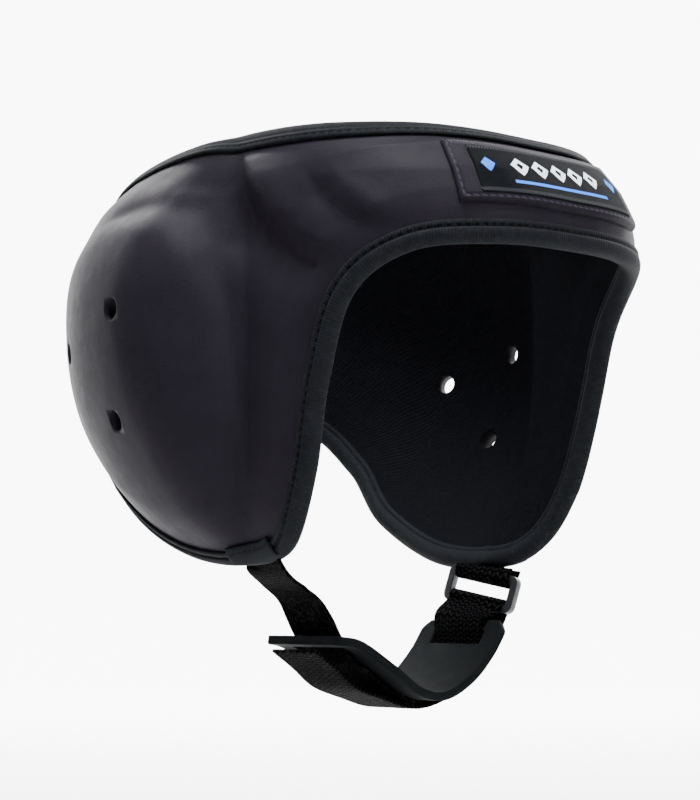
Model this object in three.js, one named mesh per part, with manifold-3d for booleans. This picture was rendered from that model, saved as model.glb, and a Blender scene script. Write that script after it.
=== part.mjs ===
// Wrestling ear guard: one soft padded band round the head with two bulging ear cups,
// an open crown, a face opening, and a chin strap with a pad and a rectangular buckle.
// Millimetres. Front of the head towards -Y, wearer's right towards -X, +Z up.
// The origin is the middle of the crown opening, at the height of the crown's edge.

import * as THREE from 'three';
import { mergeVertices } from 'three/addons/utils/BufferGeometryUtils.js';
import Module from 'manifold-3d';

const wasm = await Module();
wasm.setup();

// Driving sizes
const guardHeight = 150;
const bandHalfWidth = 76;
const foreheadReach = 96;
const napeReach = 110;
const cupBulge = 28;
const shellWall = 4.8;
const shellEdgeWall = 3.2;
const liningWall = 0.8;
const clearance = 0.35;
const tapeGap = 0.72;
const bindingTape = 0.9;
const bindingLip = 7.2;
const beadRadius = 3.3;
const ventDiameter = 8;
const patchWall = 1.6;
const patchWidth = 90;
const patchHeight = 26;
const patchShift = -3.5;
const patchDrop = 5.5;
const patchLean = 0.15;
const patchSeat = 0.55;
const labelWall = 0.6;
const labelSideMargin = 8;
const labelTopMargin = 3.5;
const labelLowMargin = 2.5;
const webbingWidth = 25;
const webbingWall = 1.3;
const strapHalfSpan = 55;
const strapDrop = 52;
const strapForward = -4;
const slotGap = 0.8;
const padWall = 3.2;
const padWidth = 43;
const tailBow = 6;
const buckleBar = 3;
const buckleHeight = 14.5;
const buckleSideGap = 0.6;
const buckleTwist = 9;
const buckleTilt = 11;
const tabTop = 9.5;
const tabBottom = 3;
const beadStart = 1.5;
const beadFullness = 0.6;
const strapTurn = -12;
const slotPass = 2.3;

const degree = Math.PI / 180;
const stationsPerRow = 3;
const innerRows = 7;

// Head form: outer half width, forehead reach and nape reach at each drop below the crown
// edge. The drop is a share of guardHeight, the others are shares of their own sizes.
const headForm = [
  { drop: -0.04, half: 0.88, front: 0.665, rear: 0.95 },
  { drop: 0.0, half: 0.90, front: 0.72, rear: 0.965 },
  { drop: 0.03, half: 0.925, front: 0.775, rear: 0.98 },
  { drop: 0.07, half: 0.955, front: 0.84, rear: 0.99 },
  { drop: 0.13, half: 0.985, front: 0.915, rear: 1.0 },
  { drop: 0.22, half: 1.0, front: 0.98, rear: 1.0 },
  { drop: 0.38, half: 1.0, front: 1.0, rear: 1.0 },
  { drop: 0.62, half: 0.98, front: 0.97, rear: 0.98 },
  { drop: 0.80, half: 0.93, front: 0.93, rear: 0.92 },
  { drop: 0.92, half: 0.86, front: 0.88, rear: 0.83 },
  { drop: 1.04, half: 0.71, front: 0.80, rear: 0.68 },
];
const headSquareness = 2.45;

// Edges of the guard from the front to the back of one side. Azimuths in degrees from the
// front, drops below the crown edge as shares of guardHeight.
const edgeRows = [
  { name: 'forehead', lowAt: 0, lowDrop: 0.287, topAt: 0, topDrop: 0.006 },
  { name: 'brow', lowAt: 20, lowDrop: 0.290, topAt: 17, topDrop: 0.003 },
  { name: 'temple', lowAt: 38, lowDrop: 0.312, topAt: 33, topDrop: -0.002 },
  { name: 'cheek_top', lowAt: 51, lowDrop: 0.405, topAt: 48, topDrop: -0.004 },
  { name: 'cheek', lowAt: 57.3, lowDrop: 0.59, topAt: 62, topDrop: -0.008 },
  { name: 'jaw_front', lowAt: 63, lowDrop: 0.82, topAt: 76, topDrop: -0.010 },
  { name: 'flap_front', lowAt: 74, lowDrop: 0.967, topAt: 90, topDrop: -0.010 },
  { name: 'flap_bottom', lowAt: 97, lowDrop: 1.0, topAt: 104, topDrop: -0.003 },
  { name: 'flap_back', lowAt: 122, lowDrop: 0.975, topAt: 118, topDrop: 0.010 },
  { name: 'behind_ear', lowAt: 138, lowDrop: 0.875, topAt: 132, topDrop: 0.032 },
  { name: 'nape_side', lowAt: 145, lowDrop: 0.725, topAt: 146, topDrop: 0.062 },
  { name: 'nape', lowAt: 156, lowDrop: 0.60, topAt: 162, topDrop: 0.092 },
  { name: 'back', lowAt: 180, lowDrop: 0.58, topAt: 180, topDrop: 0.105 },
];

// Swells and dents of the shell: centre, spans towards the front, the rear, the crown and
// the jaw, and the rise as a share of cupBulge. Azimuths in degrees, drops as above.
const swells = [
  { name: 'ear_cup', at: 106, drop: 0.42, fore: 25, aft: 66, up: 0.46, down: 0.60, rise: 1.0 },
  { name: 'cup_back', at: 142, drop: 0.34, fore: 30, aft: 34, up: 0.36, down: 0.40, rise: 0.07 },
];
const swellSquareness = 2.5;
const swellShoulder = 1.2;
const swellSoftness = 0.09;

// Vent holes of each cup, with the azimuths of the wearer's left and right cup
const vents = [
  { name: 'upper', left: 105.4, right: 105.4, drop: 0.407 },
  { name: 'lower', left: 110.0, right: 110.7, drop: 0.655 },
  { name: 'rear', left: 122.5, right: 128, drop: 0.48 },
];

const colours = {
  shell: 0x2b2d34,
  lining: 0x15161a,
  binding: 0x25272c,
  label: 0x101216,
  webbing: 0x0e0f11,
  pad: 0x2a2e31,
  buckle: 0x141518,
};

function fabric(colour, roughness) {
  return new THREE.MeshStandardMaterial({ color: colour, roughness, metalness: 0 });
}

// A smooth value through the rows of a table, at a place counted in rows
function throughRows(values, place) {
  const last = values.length - 1;
  const row = Math.min(Math.max(Math.floor(place), 0), last - 1);
  const share = place - row;
  const before = values[row - 1] ?? 2 * values[row] - values[row + 1];
  const after = values[row + 2] ?? 2 * values[row + 1] - values[row];
  const slopeIn = (values[row + 1] - before) / 2;
  const slopeOut = (after - values[row]) / 2;
  const square = share * share;
  const cube = square * share;
  return values[row] * (2 * cube - 3 * square + 1) + slopeIn * (cube - 2 * square + share)
    + values[row + 1] * (3 * square - 2 * cube) + slopeOut * (cube - square);
}

// Head form values at a drop, by rows of unequal spacing
function formAt(drop) {
  const rows = headForm;
  let row = 0;
  while (row < rows.length - 2 && drop > rows[row + 1].drop) row += 1;
  const place = row + (drop - rows[row].drop) / (rows[row + 1].drop - rows[row].drop);
  return {
    half: bandHalfWidth * throughRows(rows.map((r) => r.half), place),
    front: foreheadReach * throughRows(rows.map((r) => r.front), place),
    rear: napeReach * throughRows(rows.map((r) => r.rear), place),
  };
}

function swellAt(azimuth, drop) {
  let rise = 0;
  for (const swell of swells) {
    const aside = Math.abs(azimuth) - swell.at;
    const below = drop - swell.drop;
    const across = Math.abs(aside) / (aside < 0 ? swell.fore : swell.aft);
    const along = Math.abs(below) / (below < 0 ? swell.up : swell.down);
    const away = (across ** swellSquareness + along ** swellSquareness)
      ** (1 / swellSquareness);
    const inside = 1 - away * away;
    const soft = (inside + Math.hypot(inside, swellSoftness)) / 2;
    rise += swell.rise * soft ** swellShoulder;
  }
  return rise * cupBulge;
}

// Point of the shell's outer side. Azimuth in degrees from the front, positive to the left.
function outerPoint(azimuth, drop) {
  const form = formAt(drop);
  const turn = azimuth * degree;
  const across = Math.abs(Math.sin(turn)) / form.half;
  const along = Math.abs(Math.cos(turn)) / (Math.cos(turn) > 0 ? form.front : form.rear);
  const reach = (across ** headSquareness + along ** headSquareness) ** (-1 / headSquareness)
    + swellAt(azimuth, drop);
  return new THREE.Vector3(reach * Math.sin(turn), -reach * Math.cos(turn), -drop * guardHeight);
}

// Outer point with its outward normal and the two directions along the surface
function surfaceFrame(azimuth, drop) {
  const stepAt = 0.5;
  const stepDrop = 0.004;
  const point = outerPoint(azimuth, drop);
  const alongAt = outerPoint(azimuth + stepAt, drop).sub(outerPoint(azimuth - stepAt, drop))
    .divideScalar(2 * stepAt);
  const alongDrop = outerPoint(azimuth, drop + stepDrop).sub(outerPoint(azimuth, drop - stepDrop))
    .divideScalar(2 * stepDrop);
  const normal = new THREE.Vector3().crossVectors(alongDrop, alongAt).normalize();
  return { point, normal, alongAt, alongDrop };
}

function offsetPoint(place, height) {
  const frame = surfaceFrame(place.at, place.drop);
  return frame.point.addScaledVector(frame.normal, height);
}

// Edge places, by station. The rows of one side are mirrored for the other side.
const sideRows = edgeRows.length - 1;
const stationCount = 2 * sideRows * stationsPerRow;

function edgePlace(edge, rowPlace) {
  const wrapped = ((rowPlace % (2 * sideRows)) + 2 * sideRows) % (2 * sideRows);
  const left = wrapped <= sideRows;
  const place = left ? wrapped : 2 * sideRows - wrapped;
  const mirrored = (key) => {
    const values = edgeRows.map((row) => row[edge + key]);
    const sign = key === 'At' ? -1 : 1;
    const turnAround = key === 'At' ? 360 : 0;
    const before = sign * values[1];
    const after = turnAround + sign * values[sideRows - 1];
    return throughRows([before, ...values, after], place + 1);
  };
  return { at: (left ? 1 : -1) * mirrored('At'), drop: mirrored('Drop') };
}

// Place on the surface a given distance inwards from an edge, square to that edge
function inwardPlace(edge, rowPlace, distance) {
  const place = edgePlace(edge, rowPlace);
  const frame = surfaceFrame(place.at, place.drop);
  const ahead = edgePlace(edge, rowPlace + 0.1);
  const behind = edgePlace(edge, rowPlace - 0.1);
  const run = outerPoint(ahead.at, ahead.drop).sub(outerPoint(behind.at, behind.drop)).normalize();
  const inward = new THREE.Vector3().crossVectors(run, frame.normal).normalize();
  if (edge === 'low') inward.negate();
  const aa = frame.alongAt.dot(frame.alongAt);
  const ad = frame.alongAt.dot(frame.alongDrop);
  const dd = frame.alongDrop.dot(frame.alongDrop);
  const ia = inward.dot(frame.alongAt);
  const id = inward.dot(frame.alongDrop);
  const scale = distance / (aa * dd - ad * ad);
  return {
    at: place.at + scale * (ia * dd - id * ad),
    drop: place.drop + scale * (id * aa - ia * ad),
  };
}

// Places of one station from the lower edge to the crown edge, from an inset to an inset
function columnPlaces(rowPlace, inset, lip) {
  const places = [inwardPlace('low', rowPlace, inset), inwardPlace('low', rowPlace, lip)];
  const start = inwardPlace('low', rowPlace, lip);
  const end = inwardPlace('top', rowPlace, lip);
  const lead = 30;
  const startAim = inwardPlace('low', rowPlace, lip + lead);
  const endAim = inwardPlace('top', rowPlace, lip + lead / 2);
  const bend = (key, share) => {
    const rest = 1 - share;
    return rest ** 3 * start[key] + 3 * rest * rest * share * startAim[key]
      + 3 * rest * share * share * endAim[key] + share ** 3 * end[key];
  };
  for (let row = 1; row < innerRows; row += 1) {
    places.push({ at: bend('at', row / innerRows), drop: bend('drop', row / innerRows) });
  }
  places.push(end, inwardPlace('top', rowPlace, inset));
  return places;
}

// A solid through closed sections with equal counts of points. A run that isn't closed gets
// end caps between the two rows that each section is made of. A turned side is divided along
// its other diagonal, so that two skins that lie on each other have matching facets.
function loft(sections, closed, turned = () => false) {
  const count = sections[0].length;
  const positions = [];
  for (const section of sections) {
    for (const point of section) positions.push(point.x, point.y, point.z);
  }
  const index = [];
  const quad = (a, b, c, d) => index.push(a, b, c, a, c, d);
  const turnedQuad = (a, b, c, d) => index.push(a, b, d, b, c, d);
  const runs = closed ? sections.length : sections.length - 1;
  for (let run = 0; run < runs; run += 1) {
    const here = run * count;
    const next = ((run + 1) % sections.length) * count;
    for (let side = 0; side < count; side += 1) {
      const turn = (side + 1) % count;
      const divide = turned(side) ? turnedQuad : quad;
      divide(here + side, here + turn, next + turn, next + side);
    }
  }
  if (!closed) {
    const end = (sections.length - 1) * count;
    for (let side = 0; side < count / 2 - 1; side += 1) {
      const a = side;
      const b = side + 1;
      const c = count - 2 - side;
      const d = count - 1 - side;
      quad(a, d, c, b);
      quad(end + a, end + b, end + c, end + d);
    }
  }
  const geometry = new THREE.BufferGeometry();
  geometry.setAttribute('position', new THREE.Float32BufferAttribute(positions, 3));
  geometry.setIndex(index);
  return facingOut(geometry);
}

function facingOut(geometry) {
  const position = geometry.attributes.position;
  const index = geometry.index.array;
  const a = new THREE.Vector3();
  const b = new THREE.Vector3();
  const c = new THREE.Vector3();
  let volume = 0;
  for (let corner = 0; corner < index.length; corner += 3) {
    a.fromBufferAttribute(position, index[corner]);
    b.fromBufferAttribute(position, index[corner + 1]);
    c.fromBufferAttribute(position, index[corner + 2]);
    volume += a.dot(b.cross(c));
  }
  if (volume < 0) geometry.setIndex(Array.from(index).reverse());
  return geometry;
}

function toManifold(geometry) {
  const bare = geometry.clone();
  bare.deleteAttribute('normal');
  bare.deleteAttribute('uv');
  const merged = mergeVertices(bare, 1e-4);
  const mesh = new wasm.Mesh({
    numProp: 3,
    vertProperties: new Float32Array(merged.attributes.position.array),
    triVerts: new Uint32Array(merged.index.array),
  });
  return new wasm.Manifold(mesh);
}

function fromManifold(solid) {
  const mesh = solid.getMesh();
  const geometry = new THREE.BufferGeometry();
  geometry.setAttribute('position', new THREE.Float32BufferAttribute(mesh.vertProperties, 3));
  geometry.setIndex(Array.from(mesh.triVerts));
  return geometry;
}

function cut(geometry, cutters) {
  let solid = toManifold(geometry);
  for (const cutter of cutters) solid = solid.subtract(toManifold(cutter));
  return fromManifold(solid);
}

const guard = new THREE.Group();
guard.name = 'ear_guard';

function addPiece(name, geometry, material) {
  const mesh = new THREE.Mesh(geometry, material);
  mesh.name = name;
  guard.add(mesh);
  return mesh;
}

const edgeInset = beadRadius;

// Wall of the shell: thinner where the tape holds it, full from a little further in
function wallAt(row, rowCount) {
  const fromEdge = Math.min(row, rowCount - 1 - row);
  if (fromEdge <= 1) return shellEdgeWall;
  if (fromEdge === 2) return (shellEdgeWall + shellWall) / 2;
  return shellWall;
}

// A skin of the band between two depths under the outer side
function skin(depthOut, depthIn) {
  const sections = [];
  for (let station = 0; station < stationCount; station += 1) {
    const places = columnPlaces(station / stationsPerRow, edgeInset, bindingLip);
    const outer = places.map((place, row) => offsetPoint(place, -depthOut(row, places.length)));
    const inner = places.map((place, row) => offsetPoint(place, -depthIn(row, places.length)));
    sections.push([...outer, ...inner.reverse()]);
  }
  return loft(sections, true, (side) => side >= sections[0].length / 2);
}

function ventCutters() {
  const cutters = [];
  for (const side of [-1, 1]) {
    for (const vent of vents) {
      const frame = surfaceFrame(side < 0 ? -vent.right : vent.left, vent.drop);
      const cutter = new THREE.CylinderGeometry(ventDiameter / 2, ventDiameter / 2, 40, 10);
      cutter.applyQuaternion(new THREE.Quaternion()
        .setFromUnitVectors(new THREE.Vector3(0, 1, 0), frame.normal));
      cutter.translate(frame.point.x, frame.point.y, frame.point.z);
      cutters.push(cutter);
    }
  }
  return cutters;
}

const holes = ventCutters();
addPiece('shell', cut(skin(() => 0, wallAt), holes), fabric(colours.shell, 0.85));
addPiece('lining', cut(
  skin(
    (row, count) => wallAt(row, count) + clearance,
    (row, count) => wallAt(row, count) + clearance + liningWall,
  ),
  holes,
), fabric(colours.lining, 0.95));

// Tape folded over an edge: a flat lip on each side and a round bead past the edge
const edgeDepth = shellEdgeWall + clearance + liningWall;

function bindingSection(edge, rowPlace) {
  const middle = -edgeDepth / 2;
  const inner = edgeDepth / 2 + tapeGap;
  const outer = inner + bindingTape;
  const bead = Math.max(beadRadius, outer);
  const corner = bead * Math.SQRT1_2;
  const outline = [
    [bindingLip, outer],
    [edgeInset + beadStart, outer],
    [edgeInset - corner * beadFullness, corner + clearance],
    [edgeInset - bead, 0],
    [edgeInset - corner * beadFullness, -corner - clearance],
    [edgeInset + beadStart, -outer],
    [bindingLip, -outer],
    [bindingLip, -inner],
    [edgeInset - tapeGap, -inner],
    [edgeInset - tapeGap, inner],
    [bindingLip, inner],
  ];
  return outline.map(([distance, height]) => (
    offsetPoint(inwardPlace(edge, rowPlace, distance), middle + height)));
}

function binding(edge) {
  const sections = [];
  for (let station = 0; station < stationCount; station += 1) {
    sections.push(bindingSection(edge, station / stationsPerRow));
  }
  const turnedLipSide = edge === 'low' ? 7 : 9;
  return loft(sections, true, (side) => side === turnedLipSide);
}

addPiece('crown_binding', binding('top'), fabric(colours.binding, 0.9));
addPiece('face_binding', binding('low'), fabric(colours.binding, 0.9));

// Place on the surface at an azimuth, a distance along the surface below the crown edge
function placeBelowCrown(azimuth, distance) {
  let low = 0;
  let high = sideRows;
  for (let halving = 0; halving < 30; halving += 1) {
    const middle = (low + high) / 2;
    if (edgePlace('top', middle).at < Math.abs(azimuth)) low = middle;
    else high = middle;
  }
  const march = 0.5;
  let drop = edgePlace('top', low).drop;
  for (let gone = 0; gone < distance; gone += march) {
    const step = Math.min(march, distance - gone);
    drop += step / surfaceFrame(azimuth, drop).alongDrop.length();
  }
  return { at: azimuth, drop };
}

// A slab that follows the forehead between two distances below the crown edge
function foreheadSlab(halfWidth, fromCrown, toCrown, heightIn, heightOut) {
  const columns = 12;
  const rows = 3;
  const sections = [];
  for (let column = 0; column <= columns; column += 1) {
    const across = patchShift + halfWidth * (2 * column / columns - 1);
    const azimuth = across / foreheadReach / degree;
    const places = [];
    for (let row = 0; row <= rows; row += 1) {
      const share = row / rows;
      const place = placeBelowCrown(azimuth, fromCrown + (toCrown - fromCrown) * share);
      const lean = patchLean * (toCrown - fromCrown) * (share - 0.5);
      places.push({ at: place.at + lean / foreheadReach / degree, drop: place.drop });
    }
    const outer = places.map((place) => offsetPoint(place, heightOut));
    const inner = places.map((place) => offsetPoint(place, heightIn));
    sections.push([...outer, ...inner.reverse()]);
  }
  return loft(sections, false);
}

const patchTop = bindingLip + patchDrop;
const patchBottom = patchTop + patchHeight;
const labelSeat = patchSeat + patchWall + clearance;
addPiece(
  'label_patch',
  foreheadSlab(patchWidth / 2, patchTop, patchBottom, patchSeat, patchSeat + patchWall),
  fabric(colours.shell, 0.85),
);
addPiece('label', foreheadSlab(
  patchWidth / 2 - labelSideMargin,
  patchTop + labelTopMargin,
  patchBottom - labelLowMargin,
  labelSeat,
  labelSeat + labelWall,
), fabric(colours.label, 0.5));

// Folded tape tabs over the outer lip at the bottom of each flap, where the straps are sewn
const strapRow = 7 - 1 / stationsPerRow;
const lipFace = tapeGap + bindingTape;

function strapTab(side) {
  const sections = [];
  for (let station = -1; station <= 2; station += 1) {
    const rowPlace = side * (strapRow + (station - 0.5) / stationsPerRow);
    const distances = [tabBottom, (tabBottom + tabTop) / 2, tabTop];
    const rise = (height) => (distance) => (
      offsetPoint(inwardPlace('low', rowPlace, distance), height));
    const outer = distances.map(rise(lipFace + clearance + bindingTape));
    const inner = distances.map(rise(lipFace + clearance));
    sections.push([...outer, ...inner.reverse()]);
  }
  return loft(sections, false);
}

// The chin strap's layers follow the middle of the chin pad. Across is a share of
// strapHalfSpan, drop a share of strapDrop below the flaps.
const padLine = [
  { name: 'right_end', across: -0.68, drop: 0.50 },
  { name: 'right_lobe', across: -0.51, drop: 0.53 },
  { name: 'under_jaw', across: -0.21, drop: 0.70 },
  { name: 'chin', across: 0.05, drop: 0.865 },
  { name: 'bottom', across: 0.26, drop: 0.895 },
  { name: 'left_lobe', across: 0.51, drop: 0.78 },
  { name: 'left_rise', across: 0.70, drop: 0.60 },
  { name: 'left_end', across: 0.85, drop: 0.385 },
];

function strapPoint(across, drop) {
  return new THREE.Vector3(
    across * strapHalfSpan,
    -strapForward,
    -guardHeight - drop * strapDrop,
  );
}

const padCurve = new THREE.CatmullRomCurve3(
  padLine.map((row) => strapPoint(row.across, row.drop)),
  false,
  'centripetal',
);
const widthAxis = new THREE.Vector3(0, -1, 0);

// A point at a share of the pad's length, and a depth under the pad's middle surface
function layerPoint(share, depth) {
  const clipped = Math.min(Math.max(share, 0), 1);
  const point = padCurve.getPointAt(clipped);
  const tangent = padCurve.getTangentAt(clipped);
  point.addScaledVector(tangent, (share - clipped) * padCurve.getLength());
  const down = new THREE.Vector3().crossVectors(tangent, widthAxis).normalize();
  if (down.z > 0) down.negate();
  return point.addScaledVector(down, depth);
}

// A flat band through rows, each with its point and width. Twist turns the width about the
// vertical and tilt lowers its front edge, both in degrees.
function band(rows, stepsPerSpan, wall) {
  const curve = new THREE.CatmullRomCurve3(rows.map((row) => row.point), false, 'centripetal');
  const steps = (rows.length - 1) * stepsPerSpan;
  const sections = [];
  for (let step = 0; step <= steps; step += 1) {
    const along = (key) => throughRows(rows.map((row) => row[key] ?? 0), step / stepsPerSpan);
    const point = curve.getPoint(step / steps);
    const tangent = curve.getTangent(step / steps);
    const wide = widthDirection(along('twist'), along('tilt'));
    const thick = new THREE.Vector3().crossVectors(tangent, wide).normalize();
    wide.crossVectors(thick, tangent).normalize().multiplyScalar(along('width') / 2);
    thick.multiplyScalar(wall / 2);
    sections.push([
      point.clone().add(wide).add(thick),
      point.clone().sub(wide).add(thick),
      point.clone().sub(wide).sub(thick),
      point.clone().add(wide).sub(thick),
    ]);
  }
  return loft(sections, false);
}

function widthDirection(twist, tilt) {
  return new THREE.Vector3(
    Math.sin(twist * degree) * Math.cos(tilt * degree),
    -Math.cos(twist * degree) * Math.cos(tilt * degree),
    -Math.sin(tilt * degree),
  );
}

function webbingRow(point, twist = 0, tilt = 0) {
  return { point, twist, tilt, width: webbingWidth };
}

const firstUnder = padWall / 2 + clearance + webbingWall / 2;
const secondUnder = firstUnder + webbingWall + clearance;

// Anchor of a strap: just under the bead at the bottom of a flap
function anchorPoint(side, below) {
  return offsetPoint(inwardPlace('low', side * (strapRow + 0.1), -below), -edgeDepth / 2);
}

const rightStrap = [
  webbingRow(anchorPoint(-1, 2 * clearance), strapTurn),
  webbingRow(anchorPoint(-1, 4), strapTurn),
  webbingRow(strapPoint(-0.83, 0.13), strapTurn * 0.7),
  webbingRow(strapPoint(-0.69, 0.23), strapTurn * 0.35),
  webbingRow(strapPoint(-0.60, 0.36)),
  webbingRow(layerPoint(0.075, -firstUnder)),
  webbingRow(layerPoint(0.12, 0)),
  webbingRow(layerPoint(0.17, firstUnder)),
  webbingRow(layerPoint(0.26, firstUnder)),
  webbingRow(layerPoint(0.38, firstUnder)),
  webbingRow(layerPoint(0.50, firstUnder)),
];
addPiece('strap_right', band(rightStrap, 3, webbingWall), fabric(colours.webbing, 0.9));
addPiece('strap_tab_right', strapTab(-1), fabric(colours.binding, 0.9));
addPiece('strap_tab_left', strapTab(1), fabric(colours.binding, 0.9));

// Rectangular loop under the left flap
const buckleWidth = webbingWidth + 2 * (buckleBar + buckleSideGap);
const barCorner = buckleBar * Math.SQRT1_2;
const barWrap = barCorner + webbingWall / 2 + clearance / 2;
const buckleWide = widthDirection(buckleTwist, buckleTilt);
const topBar = anchorPoint(1, barWrap + webbingWall / 2 + clearance);
const buckleLean = new THREE.Vector3(0.2, 0, 1).normalize();
const buckleOut = new THREE.Vector3().crossVectors(buckleLean, buckleWide).normalize();
if (buckleOut.x < 0) buckleOut.negate();
const buckleUp = new THREE.Vector3().crossVectors(buckleOut, buckleWide).normalize();
if (buckleUp.z < 0) buckleUp.negate();
const barSpacing = buckleHeight - buckleBar;
const lowBar = topBar.clone().addScaledVector(buckleUp, -barSpacing);

function roundedRectangle(shape, width, height, radius) {
  const x = width / 2;
  const y = height / 2;
  shape.moveTo(-x + radius, -y);
  shape.lineTo(x - radius, -y);
  shape.absarc(x - radius, -y + radius, radius, -Math.PI / 2, 0, false);
  shape.lineTo(x, y - radius);
  shape.absarc(x - radius, y - radius, radius, 0, Math.PI / 2, false);
  shape.lineTo(-x + radius, y);
  shape.absarc(-x + radius, y - radius, radius, Math.PI / 2, Math.PI, false);
  shape.lineTo(-x, -y + radius);
  shape.absarc(-x + radius, -y + radius, radius, Math.PI, 1.5 * Math.PI, false);
  return shape;
}

const buckleShape = roundedRectangle(new THREE.Shape(), buckleWidth, buckleHeight, buckleBar);
buckleShape.holes.push(roundedRectangle(
  new THREE.Path(),
  buckleWidth - 2 * buckleBar,
  buckleHeight - 2 * buckleBar,
  buckleBar / 3,
));
const buckleGeometry = new THREE.ExtrudeGeometry(buckleShape, {
  depth: buckleBar,
  bevelEnabled: false,
  curveSegments: 3,
});
buckleGeometry.translate(0, 0, -buckleBar / 2);
buckleGeometry.deleteAttribute('normal');
buckleGeometry.deleteAttribute('uv');
const buckle = addPiece('buckle', mergeVertices(buckleGeometry, 1e-4), fabric(colours.buckle, 0.4));
buckle.quaternion.setFromRotationMatrix(new THREE.Matrix4().makeBasis(
  new THREE.Vector3().crossVectors(buckleUp, buckleOut),
  buckleUp,
  buckleOut,
));
buckle.position.copy(topBar).add(lowBar).multiplyScalar(0.5);

// Webbing loop from the left flap round the buckle's upper bar
const aroundBar = (bar, out, up) => bar.clone().addScaledVector(buckleOut, out * barWrap)
  .addScaledVector(buckleUp, up * barWrap);
const atBuckle = (point) => webbingRow(point, buckleTwist, buckleTilt);
const loopEnd = (out) => anchorPoint(1, 3 * clearance)
  .addScaledVector(buckleOut, out * 0.95 * barWrap);
addPiece('strap_loop_left', band([
  atBuckle(loopEnd(1)),
  atBuckle(aroundBar(topBar, 1, 0.1)),
  atBuckle(aroundBar(topBar, 0.75, -0.7)),
  atBuckle(aroundBar(topBar, 0, -1.02)),
  atBuckle(aroundBar(topBar, -0.75, -0.7)),
  atBuckle(aroundBar(topBar, -1, 0.1)),
  atBuckle(loopEnd(-1)),
], 3, webbingWall), fabric(colours.webbing, 0.9));

// Long webbing: tail end, under the pad, up outside it, round the lower bar and back in
// through the pad's left slot
const tailRows = [
  { share: -0.02, bow: 0.0 },
  { share: 0.10, bow: 0.75 },
  { share: 0.23, bow: 1.0 },
  { share: 0.37, bow: 0.45 },
  { share: 0.52, bow: 0.0 },
  { share: 0.68, bow: 0.0 },
  { share: 0.84, bow: 0.0 },
  { share: 0.95, bow: 0.0 },
];
const chinStrap = [
  ...tailRows.map((row) => webbingRow(
    layerPoint(row.share, secondUnder + row.bow * tailBow))),
  webbingRow(layerPoint(0.99, secondUnder + webbingWall / 2), buckleTwist / 3, buckleTilt / 3),
  atBuckle(aroundBar(lowBar, 1, -0.2)),
  atBuckle(aroundBar(lowBar, 0.75, 0.7)),
  atBuckle(aroundBar(lowBar, 0, 1.02)),
  atBuckle(aroundBar(lowBar, -0.75, 0.7)),
  atBuckle(aroundBar(lowBar, -1, -0.2)),
  webbingRow(layerPoint(0.995, -firstUnder - slotPass), buckleTwist / 3, buckleTilt / 3),
  webbingRow(layerPoint(0.955, -firstUnder - 0.5)),
  webbingRow(layerPoint(0.92, 0)),
  webbingRow(layerPoint(0.88, firstUnder)),
  webbingRow(layerPoint(0.81, firstUnder)),
  webbingRow(layerPoint(0.70, firstUnder)),
];
addPiece('chin_strap', band(chinStrap, 3, webbingWall), fabric(colours.webbing, 0.9));

// Chin pad: full width between rounded ends
const padRows = [];
const padSpans = 18;
const padRound = 0.05;
for (let span = 0; span <= padSpans; span += 1) {
  const share = span / padSpans;
  const toEnd = Math.min(share, 1 - share);
  const narrow = toEnd < padRound ? 0.84 + 0.16 * Math.sin(toEnd / padRound * Math.PI / 2) : 1;
  padRows.push({ point: layerPoint(share, 0), width: padWidth * narrow });
}
const padSolid = band(padRows, 1, padWall);

// The webbing passes through the pad in two slots, where its curve crosses the pad
function slotCutter(rows) {
  const curve = new THREE.CatmullRomCurve3(rows.map((row) => row.point), false, 'centripetal');
  const samples = 240;
  const padPoints = padCurve.getSpacedPoints(samples);
  const inside = [];
  for (let sample = 0; sample <= samples; sample += 1) {
    const point = curve.getPoint(sample / samples);
    const nearest = Math.min(...padPoints.map((padPoint) => padPoint.distanceTo(point)));
    if (nearest < padWall / 2 + slotGap) inside.push(point);
  }
  const middle = Math.floor(inside.length / 2);
  const crossing = [inside[0], inside[middle], inside[inside.length - 1]];
  crossing[0].addScaledVector(crossing[0].clone().sub(crossing[1]).normalize(), slotGap);
  crossing[2].addScaledVector(crossing[2].clone().sub(crossing[1]).normalize(), slotGap);
  const width = webbingWidth + 2 * slotGap;
  return band(crossing.map((point) => ({ point, width })), 3, webbingWall + 2 * slotGap);
}

addPiece(
  'chin_pad',
  cut(padSolid, [slotCutter(rightStrap), slotCutter(chinStrap)]),
  fabric(colours.pad, 0.7),
);

export default guard;
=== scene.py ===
"""Wrestling ear guard: cloth, tape, webbing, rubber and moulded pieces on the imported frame."""

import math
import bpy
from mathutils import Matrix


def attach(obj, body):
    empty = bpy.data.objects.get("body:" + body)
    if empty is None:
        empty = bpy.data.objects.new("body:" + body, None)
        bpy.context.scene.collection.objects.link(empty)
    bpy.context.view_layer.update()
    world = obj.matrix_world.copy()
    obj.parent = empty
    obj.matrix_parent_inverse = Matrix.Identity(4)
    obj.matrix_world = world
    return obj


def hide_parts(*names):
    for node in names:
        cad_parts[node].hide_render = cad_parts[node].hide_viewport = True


bl_info = {
    "name": "Wrestling ear guard",
    "version": (1, 0, 0),
    "blender": (4, 5, 0),
    "location": "View3D > Sidebar > Ear guard",
    "description": "Builds the padded shell, lining, tapes, label, straps, pad and buckle",
    "category": "Object",
}

import bmesh
import bpy
import numpy as np
from bpy.props import FloatProperty, FloatVectorProperty, PointerProperty
from mathutils import Matrix, Vector

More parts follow.
